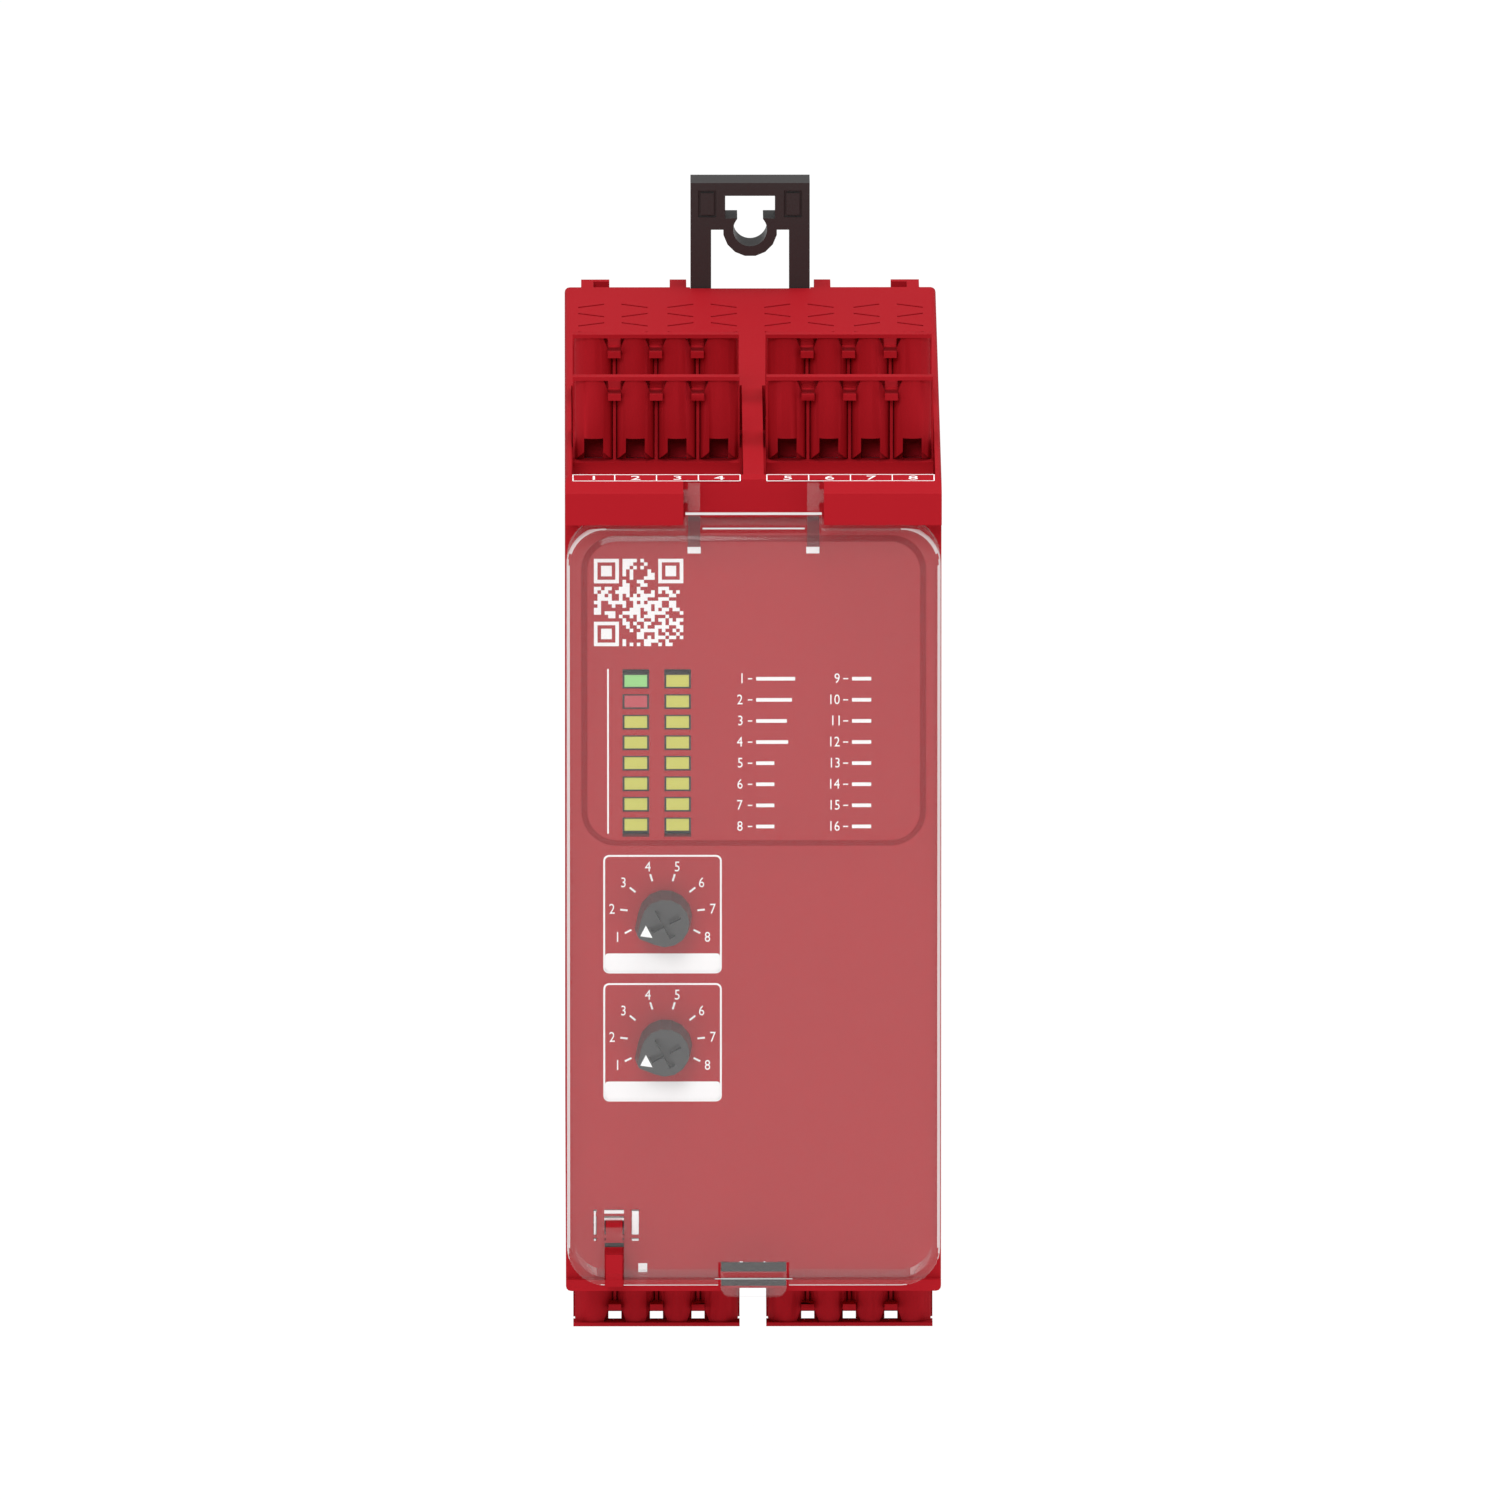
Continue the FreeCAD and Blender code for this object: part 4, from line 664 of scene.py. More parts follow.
class RELAY_OT_cover(bpy.types.Operator):
    """Moulds the clear cover: soft edges, raised window, hinge arms, snap tab"""
    bl_idname = "relay.cover"
    bl_label = "Clear cover"

    edge_steps = 6
    bend_steps = 8
    # Height above the cover's foot that counts as its foot wall, and the least cosine of a flat face.
    foot_wall = 1.3 * MM
    flat = 0.97
    # Thin strips of painted highlight and painted shade laid on the face: how far each stands ahead of it and
    # reaches into it.
    strip_ahead = 0.015 * MM
    strip_in = 0.005 * MM

    def execute(self, context):
        s = context.scene.relay_cover
        front = SHELL_LOW[1]
        face = front + s.window_raise
        rim = front + s.rim_in
        half = SHELL_HIGH[0] - s.side_gap
        top = SHELL_HIGH[2] - s.from_top
        foot = SHELL_LOW[2] + s.from_bottom
        tray = []
        for i in range(self.edge_steps + 1):
            a = math.radians(90 * i / self.edge_steps)
            inset = s.edge * (1 - math.sin(a))
            outline = rounded(-half + inset, half - inset, foot + inset, top - inset, s.corner - inset, 10)
            tray.append((outline, face + s.edge * (1 - math.cos(a))))
        tray.append((rounded(-half, half, foot, top, s.corner, 10), rim))
        inner = half - s.wall
        back = face + s.wall
        soft = ((0.35 * MM, back), (0.1 * MM, back + 0.1 * MM), (0.0, back + 0.35 * MM), (0.0, rim + PAST))
        hollow = [(rounded(-inner + i, inner - i, foot + s.wall + i, top - 2 * s.wall - i,
                           s.corner - s.wall, 10), y) for i, y in soft]
        side = half - s.window_margin
        high = top - s.wall
        window = []
        for i in range(self.bend_steps + 1):
            t = i / self.bend_steps
            inset = s.window_soft * (1 - t)
            rise = s.window_raise * (3 * (1 - t) ** 2 - 2 * (1 - t) ** 3)
            window.append((rounded(-side + inset, side - inset, high - s.window_tall + inset, high - inset,
                                   s.window_corner - inset, 10), face - rise))
        window.append((window[-1][0], face + s.wall / 2))
        cuts = [lofted(hollow)] + self.cuts(s, half, top, foot, front, face, rim)
        extra = [lofted(window)]
        tray_data = built("cover_tray", lofted(tray), extra, cuts, 0.05 * MM, 50.0)
        more = bmesh.new()
        more.from_mesh(tray_data)
        bpy.data.meshes.remove(tray_data)
        data = built("clear_cover", more, self.arms(s, top, front, face) + self.tab(s, foot, front, face)
                     + [self.strap(s, foot, face)], (), 0.0, 40.0)
        made = swapped("clear_cover", data, "clear_polycarbonate", "front_cover", "front_cover")
        # Extra slots: painted highlight on rounded edges, painted shade on tongue and foot, painted shade on
        # the window's bend.
        for name in ("painted_highlight_edge", "painted_shade_tongue_foot", "painted_shade_tint"):
            made.data.materials.append(MATERIALS[name])
        for f in made.data.polygons:
            f.material_index = self.finish_of(s, f, half, top, foot, face, side, high)
        # Plates and strips of painted shade and painted highlight.
        self.painted_shading(s, foot, face, top)
        return {"FINISHED"}

    def finish_of(self, s, f, half, top, foot, face, side, high):
        """0 for clear walls, 1 for rounded edges with a painted highlight, 2 for tongue and foot tinted with
        painted shade, 3 for the window's bend tinted with painted shade.
        """
        c, n = f.center, f.normal
        on_tongue = c.z > top + 0.1 * MM and abs(c.x) < s.arm_x
        on_foot_wall = c.z < foot + self.foot_wall and abs(n.z) > self.flat
        # Tongue and foot walls take the dark tint of painted shade.
        if on_tongue or on_foot_wall:
            return 2
        # The window's bend takes the darker tint of painted shade.
        if c.y < face - 0.01 * MM and -self.flat < n.y < -0.3 and abs(c.x) <= side and c.z <= high:
            return 3
        rounding = face < c.y < face + s.edge and -self.flat < n.y < -0.1
        if not rounding:
            return 0
        corner = abs(c.x) > half - s.corner and c.z > top - s.corner
        on_side = abs(c.x) > half - 0.3 * MM
        on_foot = c.z < foot + 0.2 * MM
        on_top = abs(c.x) < s.arm_x and c.z > top - 0.3 * MM
        # Rounded edges at the sides, the foot, the top and the upper corners take a painted highlight.
        return 1 if (corner and n.z > 0.2 and n.y > -0.9) or on_side or on_foot or on_top else 0

    def strips(self, name, outlines, face, material):
        """Thin strips on the cover's face, for painted highlight and painted shade."""
        mesh = bmesh.new()
        for outline in outlines:
            plate(mesh, outline, face - self.strip_ahead, face + self.strip_in)
        piece(name, mesh, material, "front_cover")

    def painted_shading(self, s, foot, face, top):
        """Painted shade and painted highlight: dark plates seen through the tab and the strap, darker strips
        over the arm roots, and the bright lines of tab, tongue and top edge.
        """
        inside = s.latch_half - 0.08 * MM
        low = foot + s.strap_low
        back = face + s.wall
        near = SHELL_LOW[0] + s.seal_near
        far = SHELL_LOW[0] + s.seal_far
        # Painted shade: dark plates behind the tab's upper strip and its foot, and a dark line under the
        # sealing strap.
        shade_plates = (
            (bar(-inside, inside, foot + 1.65 * MM, foot + 2.8 * MM), back + 0.02 * MM, back + 0.06 * MM),
            (bar(-inside, inside, foot - 0.1 * MM, foot + 0.9 * MM), back + 0.02 * MM, back + 0.06 * MM),
            (bar(near, far, low - 0.12 * MM, low + 0.4 * MM), face + 0.9 * MM, face + 0.94 * MM))
        mesh = bmesh.new()
        for shade_plate in shade_plates:
            plate(mesh, *shade_plate)
        piece("painted_shading", mesh, "painted_shade_plate", "front_cover")
        crest = top + s.tongue_tall
        ridge = 6.1 * MM
        end = s.latch_half + s.latch_slit + 0.4 * MM
        # Painted highlight: white lines along the tongue's crest, the cover's top edge and across the tab.
        self.strips("painted_highlight_lines", (
            bar(-s.tongue_half, s.tongue_half, crest - 0.3 * MM, crest),
            bar(-ridge, ridge, top - 0.3 * MM, top - 0.12 * MM),
            bar(-end, end, foot + 0.93 * MM, foot + 1.02 * MM)), face, "painted_highlight_edge")
        # Painted shade: darker strips on the face over the hinge arms' roots.
        roots = [sorted((way * s.arm_x, way * (s.arm_x + s.arm_wide))) for way in (-1, 1)]
        self.strips("painted_shade_arm_roots", [bar(x0, x1, crest - 4.1 * MM, crest - 0.35 * MM) for x0, x1 in roots], face,
                    "painted_shade_tint")

    def cuts(self, s, half, top, foot, front, face, rim):
        """Slits, latch foot, seal notch and the hollow that clears the brow."""
        l = s.latch_half
        hinge = (front + s.hinge_in, SHELL_HIGH[2] - s.hinge_drop)
        clear = 0.12 * MM
        sweep = math.hypot(s.hinge_in, hinge[1] - top - s.brow_gap) + clear
        near = SHELL_LOW[0] + s.seal_near
        far = SHELL_LOW[0] + s.seal_far
        parts = [block(-l, l, face + s.wall, rim + PAST, foot - PAST, foot + s.wall + 0.1 * MM),
                 block(near, far, front - PAST, rim + PAST, foot - PAST, foot + s.seal_tall)]
        for way in (-1, 1):
            ends = sorted((way * l, way * (l + s.latch_slit)))
            parts.append(block(*ends, face - PAST, rim + PAST, foot - PAST, foot + s.latch_above))
            parts.append(post(sweep, (way * s.tongue_half, *hinge), (way * (half + PAST), *hinge), 64))
        return parts

    def arms(self, s, top, front, face):
        """Tongue, hinge arms and stub pins."""
        y = front + s.hinge_in
        z = SHELL_HIGH[2] - s.hinge_drop
        soft = 0.06 * MM
        arch_steps = 16
        parts = [block(-s.tongue_half, s.tongue_half, face, face + s.wall, top - s.wall,
                       top + s.tongue_tall, soft)]
        for way in (-1, 1):
            x0, x1 = sorted((way * s.arm_x, way * (s.arm_x + s.arm_wide)))
            arch = [(y - s.arm_radius, top - s.wall)]
            for i in range(arch_steps + 1):
                a = math.radians(180 * i / arch_steps)
                arch.append((y - s.arm_radius * math.cos(a), z + s.arm_radius * math.sin(a)))
            arch.append((y + s.arm_radius, top - s.wall))
            arm = wedge(arch, x0, x1)
            bmesh.ops.bevel(arm, geom=arm.edges[:], offset=soft, segments=1, affect="EDGES")
            parts.append(arm)
            parts.append(post(s.hinge_radius, (way * s.arm_x, y, z), (way * s.pin_end, y, z), 32))
        return parts

    def tab(self, s, foot, front, face):
        """Finger tab and the hook behind it."""
        l = s.latch_half
        low = foot - s.latch_below
        outline = rounded(-l, l, low, foot + s.latch_above + 1 * MM, 1.3 * MM, 6)
        tab = lofted([(outline, face), (outline, face + s.wall)])
        reach = front + 7.4 * MM
        h = l - 0.3 * MM
        hook = block(-h, h, face + s.wall / 2, reach, foot + 0.9 * MM, foot + 1.5 * MM, 0.08 * MM)
        lip = block(-h, h, reach - 0.7 * MM, reach, foot + 1.3 * MM, foot + 1.7 * MM, 0.08 * MM)
        return [tab, hook, lip]

    def strap(self, s, foot, face):
        """Arched bridge over the sealing lug."""
        z0 = foot + s.strap_low
        z1 = foot + s.strap_high
        reach = (z1 - z0) / 2
        rear = face + 2.2 * MM
        overlap = 0.3 * MM
        arch_steps = 8
        arch = [(rear, z0)]
        for i in range(arch_steps + 1):
            a = math.radians(180 * i / arch_steps)
            arch.append((face + reach * 0.8 * (1 - math.sin(a)), (z0 + z1) / 2 - reach * math.cos(a)))
        arch.append((rear, z1))
        return wedge(arch, SHELL_LOW[0] + s.seal_near - overlap, SHELL_LOW[0] + s.seal_far + overlap)


# ---- print on the panel ----------------------------------------------------
def panel_front(sizes):
    """Y of the print's face and of the panel under it."""
    panel = SHELL_LOW[1] + sizes.panel_depth
    return panel - sizes.ink, panel + 0.005 * MM


def code_tree(material):
    """Random square cells, kept clear of the three corner squares."""
    tree, given = tree_with("Code cells", (
        ("Side", "Float", 0.01), ("Cells", "Int", 25), ("Corner", "Int", 8), ("Left", "Float", 0.0),
        ("Bottom", "Float", 0.0), ("Front", "Float", 0.0), ("Seed", "Int", 0)))
    side = given["Side"]
    lines = add(tree, "ShaderNodeMath", {0: given["Cells"], 1: 1.0}, operation="ADD")
    grid = add(tree, "GeometryNodeMeshGrid", {"Size X": side, "Size Y": side, "Vertices X": lines,
                                              "Vertices Y": lines})
    place = add(tree, "ShaderNodeSeparateXYZ", {0: add(tree, "GeometryNodeInputPosition")}).outputs
    half = add(tree, "ShaderNodeMath", {0: side, 1: 0.5}, operation="MULTIPLY")
    cell = add(tree, "ShaderNodeMath", {0: side, 1: given["Cells"]}, operation="DIVIDE")
    zone = add(tree, "ShaderNodeMath", {0: given["Corner"], 1: cell}, operation="MULTIPLY")
    edge = add(tree, "ShaderNodeMath", {0: half, 1: zone}, operation="SUBTRACT")
    other_edge = add(tree, "ShaderNodeMath", {0: edge, 1: -1.0}, operation="MULTIPLY")
    left = add(tree, "ShaderNodeMath", {0: place["X"], 1: other_edge}, operation="LESS_THAN")
    right = add(tree, "ShaderNodeMath", {0: place["X"], 1: edge}, operation="GREATER_THAN")
    high = add(tree, "ShaderNodeMath", {0: place["Y"], 1: edge}, operation="GREATER_THAN")
    low = add(tree, "ShaderNodeMath", {0: place["Y"], 1: other_edge}, operation="LESS_THAN")
    sides = add(tree, "ShaderNodeMath", {0: left, 1: right}, operation="MAXIMUM")
    tops = add(tree, "ShaderNodeMath", {0: sides, 1: high}, operation="MULTIPLY")
    foot = add(tree, "ShaderNodeMath", {0: left, 1: low}, operation="MULTIPLY")
    corners = add(tree, "ShaderNodeMath", {0: tops, 1: foot}, operation="MAXIMUM")
    chance = add(tree, "FunctionNodeRandomValue", {"Probability": 0.5, "Seed": given["Seed"]},
                 data_type="BOOLEAN")
    gone = add(tree, "FunctionNodeBooleanMath", {0: chance.outputs[3], 1: corners}, operation="OR")
    kept = add(tree, "GeometryNodeDeleteGeometry", {"Geometry": grid, "Selection": gone}, domain="FACE")
    middle_x = add(tree, "ShaderNodeMath", {0: given["Left"], 1: half}, operation="ADD")
    middle_z = add(tree, "ShaderNodeMath", {0: given["Bottom"], 1: half}, operation="ADD")
    spot = add(tree, "ShaderNodeCombineXYZ", {0: middle_x, 1: given["Front"], 2: middle_z})
    upright = add(tree, "GeometryNodeTransform", {"Geometry": kept, "Rotation": (math.radians(90), 0, 0),
                                                  "Translation": spot})
    return closed_tree(tree, upright, material)


class RELAY_OT_code_square(bpy.types.Operator):
    """Prints a square of random cells with three corner squares"""
    bl_idname = "relay.code_square"
    bl_label = "Code square"

    corner_cells = 7

    def execute(self, context):
        sizes = context.scene.relay_sizes
        front, back = panel_front(sizes)
        bottom = sizes.code_top - sizes.code_side
        wide = self.corner_cells
        grown("code_cells", code_tree("white_pad_ink"), {
            "Side": sizes.code_side, "Cells": sizes.code_cells, "Corner": wide + 1, "Left": sizes.code_left,
            "Bottom": bottom, "Front": front, "Seed": sizes.code_seed}, "white_pad_ink")
        mesh = bmesh.new()
        cell = sizes.code_side / sizes.code_cells
        far = sizes.code_side - wide * cell
        for x, z in ((0, far), (far, far), (0, 0)):
            x0 = sizes.code_left + x
            z0 = bottom + z
            outer, hole, core = [bar(x0 + i * cell, x0 + (wide - i) * cell,
                                     z0 + i * cell, z0 + (wide - i) * cell) for i in range(3)]
            ring(mesh, outer, hole, front, back)
            plate(mesh, core, front, back)
        piece("code_corners", mesh, "white_pad_ink")
        return {"FINISHED"}


class RELAY_OT_legend(bpy.types.Operator):
    """Prints the rule beside the indicators and the numbered legend"""
    bl_idname = "relay.legend"
    bl_label = "Legend"

    # Upright rule: half its width, its foot and its top.
    rule_half = 0.1 * MM
    rule_ends = (6.0 * MM, 26.2 * MM)
    # Per column, in millimetres from the middle: end of its numbers, both ends of the dash, start of the
    # bars that stand for words, and the end of each bar from the top row down.
    columns = ((-1.3, -0.68, -0.13, 0.32, (4.99, 4.6, 4.0, 4.15, 2.5, 2.5, 2.5, 2.5)),
               (10.33, 10.73, 11.35, 11.8, (14.1,) * 8))
    dash_half = 0.07 * MM
    word_half = 0.22 * MM

    def execute(self, context):
        sizes = context.scene.relay_sizes
        front, back = panel_front(sizes)
        mesh = bmesh.new()
        plate(mesh, bar(sizes.rule_x - self.rule_half, sizes.rule_x + self.rule_half, *self.rule_ends),
              front, back)
        piece("indicator_rule", mesh, "white_pad_ink")
        mesh = bmesh.new()
        cap = sizes.legend_cap
        for column, (number_end, dash_start, dash_end, word_start, ends) in enumerate(self.columns):
            for row, word_end in enumerate(ends):
                foot = sizes.legend_top - row * sizes.legend_pitch
                number = str(row + 1 + len(ends) * column)
                numeral(mesh, number, number_end * MM, foot, cap, front, back, 1.0)
                middle = foot + cap * 0.45
                for start, end, half in ((dash_start, dash_end, self.dash_half),
                                         (word_start, word_end, self.word_half)):
                    plate(mesh, bar(start * MM, end * MM, middle - half, middle + half), front, back)
        piece("legend", mesh, "white_pad_ink")
        return {"FINISHED"}


# ---- small fittings of the panel -------------------------------------------
def divider_tree(material):
    """Bars of the panel between the indicator lenses, one column."""
    tree, given = tree_with("Lens dividers", (
        ("Count", "Int", 7), ("Pitch", "Float", 0.0025), ("Size", "Vector", (0, 0, 0)),
        ("Top", "Vector", (0, 0, 0))))
    down = add(tree, "ShaderNodeMath", {0: given["Pitch"], 1: -1.0}, operation="MULTIPLY")
    step = add(tree, "ShaderNodeCombineXYZ", {2: down})
    line = add(tree, "GeometryNodeMeshLine", {"Count": given["Count"], "Offset": step,
                                              "Start Location": given["Top"]})
    one = add(tree, "GeometryNodeMeshCube", {"Size": given["Size"]})
    spread = add(tree, "GeometryNodeInstanceOnPoints", {"Points": line, "Instance": one})
    return closed_tree(tree, spread, material)


class RELAY_OT_panel_fittings(bpy.types.Operator):
    """Fits the bars between the lenses and the white pads of the seal frame"""
    bl_idname = "relay.panel_fittings"
    bl_label = "Panel fittings"

    dividers = 7
    divider_deep = 0.3 * MM
    divider_tall = 0.66 * MM
    # Pads round the sealing lug: left, right, foot and top, in millimetres.
    pads = ((-19.14, -18.92, -43.26, -40.36), (-14.57, -13.77, -43.26, -40.36),
            (-17.9, -15.54, -40.69, -40.28), (-17.9, -15.54, -41.52, -41.24),
            (-19.14, -18.92, -44.04, -43.81), (-14.57, -13.77, -44.04, -43.81),
            (-13.82, -12.75, -47.9, -46.8))
    pad_ahead = 0.03 * MM
    pad_in = 0.02 * MM

    def execute(self, context):
        sizes = context.scene.relay_sizes
        front = SHELL_LOW[1] + sizes.panel_depth
        red = "spark_eroded_red_pbt"
        bars = divider_tree(red)
        size = (sizes.lens_slot - 0.02 * MM, self.divider_deep, self.divider_tall)
        for side in ("left", "right"):
            low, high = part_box("led_grid_" + side)
            middle = (low[0] + high[0]) / 2
            grown("lens_dividers_" + side, bars, {
                "Count": self.dividers, "Pitch": sizes.lens_pitch, "Size": size,
                "Top": (middle, front + 0.16 * MM, sizes.lens_top - sizes.lens_pitch / 2)}, red)
        mesh = bmesh.new()
        near = front - self.pad_ahead
        far = front + self.pad_in
        for pad in self.pads:
            plate(mesh, bar(*[v * MM for v in pad]), near, far)
        self.pair(mesh, 7.1 * MM, 0.79 * MM, (40.35 * MM, 41.15 * MM), near, far)
        piece("liner_pads", mesh, "white_pad_ink")
        mesh = bmesh.new()
        self.pair(mesh, 7.15 * MM, 0.8 * MM, (41.1 * MM, 43.4 * MM), front + 0.25 * MM, front + 0.5 * MM)
        piece("hinge_slot_webs", mesh, red)
        return {"FINISHED"}

    def pair(self, mesh, place, half, ends, front, back):
        """Plates in both hinge slots, `place` from the middle."""
        for x in (-place, place):
            plate(mesh, bar(x - half, x + half, *ends), front, back)


# ---- dials -----------------------------------------------------------------
def scale_tree(material):
    """Ticks of a dial scale, spread evenly over its sweep."""
    tree, given = tree_with("Dial ticks", (
        ("Count", "Int", 8), ("Sweep", "Float", 4.1), ("Inner", "Float", 0.004), ("Outer", "Float", 0.005),
        ("Width", "Float", 0.0002), ("Ink", "Float", 0.0001), ("Centre", "Vector", (0, 0, 0))))
    inner, outer = given["Inner"], given["Outer"]
    points = add(tree, "GeometryNodePoints", {"Count": given["Count"], "Radius": 0.001})
    index = add(tree, "GeometryNodeInputIndex")
    less = add(tree, "ShaderNodeMath", {0: given["Count"], 1: 1.0}, operation="SUBTRACT")
    share = add(tree, "ShaderNodeMath", {0: index, 1: less}, operation="DIVIDE")
    around = add(tree, "ShaderNodeMath", {0: share, 1: 0.5}, operation="SUBTRACT")
    angle = add(tree, "ShaderNodeMath", {0: around, 1: given["Sweep"]}, operation="MULTIPLY")
    turn = add(tree, "ShaderNodeCombineXYZ", {1: angle})
    long = add(tree, "ShaderNodeMath", {0: outer, 1: inner}, operation="SUBTRACT")
    both = add(tree, "ShaderNodeMath", {0: outer, 1: inner}, operation="ADD")
    reach = add(tree, "ShaderNodeMath", {0: both, 1: 0.5}, operation="MULTIPLY")
    size = add(tree, "ShaderNodeCombineXYZ", {0: given["Width"], 1: given["Ink"], 2: long})
    tick = add(tree, "GeometryNodeMeshCube", {"Size": size})
    lift = add(tree, "ShaderNodeCombineXYZ", {2: reach})
    raised = add(tree, "GeometryNodeTransform", {"Geometry": tick, "Translation": lift})
    spread = add(tree, "GeometryNodeInstanceOnPoints", {"Points": points, "Instance": raised,
                                                        "Rotation": turn})
    moved = add(tree, "GeometryNodeTransform", {"Geometry": spread, "Translation": given["Centre"]})
    return closed_tree(tree, moved, material)


def dial_centre(sizes, which):
    """Middle of a dial's scale in X and Z."""
    low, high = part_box("rotary_switch_" + which)
    lift = {"upper": sizes.upper_lift, "lower": sizes.lower_lift}[which]
    return (low[0] + high[0]) / 2 + sizes.dial_shift, (low[2] + high[2]) / 2 + lift


class RELAY_OT_dials(bpy.types.Operator):
    """Prints both dial scales with their numbers, frames and name bars"""
    bl_idname = "relay.dials"
    bl_label = "Dials"

    positions = 8
    step_degrees = 33.6
    tick_wide = 0.23 * MM
    cap = 1.22 * MM
    # Frame round a dial: from its middle to the sides, the top and the foot, and its line.
    half = 7.1 * MM
    above = 7.24 * MM
    below = 7.3 * MM
    line = 0.22 * MM
    name_bar_tall = 2.45 * MM

    def execute(self, context):
        sizes = context.scene.relay_sizes
        front, back = panel_front(sizes)
        ticks = scale_tree("white_pad_ink")
        sweep = math.radians(self.step_degrees * (self.positions - 1))
        for which in ("upper", "lower"):
            x, z = dial_centre(sizes, which)
            grown("dial_ticks_" + which, ticks, {
                "Count": self.positions, "Sweep": sweep, "Inner": sizes.tick_in, "Outer": sizes.tick_out,
                "Width": self.tick_wide, "Ink": sizes.ink, "Centre": (x, front + sizes.ink / 2, z)},
                "white_pad_ink")
            mesh = bmesh.new()
            for i in range(self.positions):
                a = math.radians(90 - self.step_degrees * (i - (self.positions - 1) / 2))
                numeral(mesh, str(i + 1), x + sizes.number_radius * math.cos(a),
                        z + sizes.number_radius * math.sin(a) - self.cap / 2, self.cap, front, back)
            piece("dial_numbers_" + which, mesh, "white_pad_ink")
            self.frame_print(x, z, which, front, back)
        return {"FINISHED"}

    def frame_print(self, x, z, which, front, back):
        """Frame of one dial and the bar at its foot that stands for its name."""
        mesh = bmesh.new()
        wide = self.half
        top = z + self.above
        foot = z - self.below
        line = self.line
        ring(mesh, rounded(x - wide, x + wide, foot, top, 0.7 * MM),
             rounded(x - wide + line, x + wide - line, foot + line, top - line, 0.5 * MM), front, back)
        inside = line * 0.9
        plate(mesh, rounded(x - wide + inside, x + wide - inside, foot + inside, foot + self.name_bar_tall,
                            0.4 * MM), front, back)
        piece("dial_frame_" + which, mesh, "white_pad_ink")


class RELAY_OT_pointers(bpy.types.Operator):
    """Paints the white pointer mark on each selector knob"""
    bl_idname = "relay.pointers"
    bl_label = "Knob pointers"

    # Sweep of a knob from its first position to its last, and the mark's foot, tip and half width.
    sweep_degrees = 235
    mark_from = 2.15
    mark_to = 3.36
    mark_half = 0.86

    def execute(self, context):
        turn = math.radians(90 + self.sweep_degrees / 2)
        along = Vector((math.cos(turn), math.sin(turn)))
        across = Vector((-along.y, along.x))
        for which in ("upper", "lower"):
            low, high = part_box("rotary_switch_" + which)
            centre = Vector(((low[0] + high[0]) / 2, (low[2] + high[2]) / 2))
            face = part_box("selector_knob_" + which)[0][1]
            mark = ((self.mark_from, -self.mark_half), (self.mark_to, 0.0), (self.mark_from, self.mark_half))
            corners = [centre + along * u * MM + across * v * MM for u, v in mark]
            mesh = bmesh.new()
            plate(mesh, [tuple(c) for c in corners], face - 0.03 * MM, face + 0.005 * MM)
            piece("pointer_mark_" + which, mesh, "white_pad_ink", "selector_" + which)
        return {"FINISHED"}


# ---- terminal labels -------------------------------------------------------
def cell_tree(material):
    """Row of label cells: one thin frame repeated at the terminal pitch."""
    tree, given = tree_with("Label cells", (
        ("Count", "Int", 4), ("Pitch", "Float", 0.005), ("Height", "Float", 0.002), ("Line", "Float", 0.0002),
        ("Ink", "Float", 0.0001), ("Centre", "Vector", (0, 0, 0)), ("Lean", "Float", 0.0)))
    height, line, ink = given["Height"], given["Line"], given["Ink"]
    lines = add(tree, "ShaderNodeMath", {0: given["Count"], 1: 1.0}, operation="ADD")
    step = add(tree, "ShaderNodeCombineXYZ", {0: given["Pitch"]})
    row = add(tree, "GeometryNodeMeshLine", {"Count": lines, "Offset": step})
    post_size = add(tree, "ShaderNodeCombineXYZ", {0: line, 1: height, 2: ink})
    upright = add(tree, "GeometryNodeMeshCube", {"Size": post_size})
    parts = [add(tree, "GeometryNodeInstanceOnPoints", {"Points": row, "Instance": upright})]
    total = add(tree, "ShaderNodeMath", {0: given["Count"], 1: given["Pitch"]}, operation="MULTIPLY")
    middle = add(tree, "ShaderNodeMath", {0: total, 1: 0.5}, operation="MULTIPLY")
    rail_size = add(tree, "ShaderNodeCombineXYZ", {0: total, 1: line, 2: ink})
    rail = add(tree, "GeometryNodeMeshCube", {"Size": rail_size})
    for share in (0.5, -0.5):
        off = add(tree, "ShaderNodeMath", {0: height, 1: share}, operation="MULTIPLY")
        spot = add(tree, "ShaderNodeCombineXYZ", {0: middle, 1: off})
        parts.append(add(tree, "GeometryNodeTransform", {"Geometry": rail, "Translation": spot}))
    joined = add(tree, "GeometryNodeJoinGeometry")
    for part in parts:
        tree.links.new(part.outputs[0], joined.inputs[0])
    back = add(tree, "ShaderNodeMath", {0: middle, 1: -1.0}, operation="MULTIPLY")
    shift = add(tree, "ShaderNodeCombineXYZ", {0: back})
    centred = add(tree, "GeometryNodeTransform", {"Geometry": joined, "Translation": shift})
    tilt = add(tree, "ShaderNodeCombineXYZ", {0: given["Lean"]})
    leaned = add(tree, "GeometryNodeTransform", {"Geometry": centred, "Rotation": tilt,
                                                 "Translation": given["Centre"]})
    return closed_tree(tree, leaned, material)


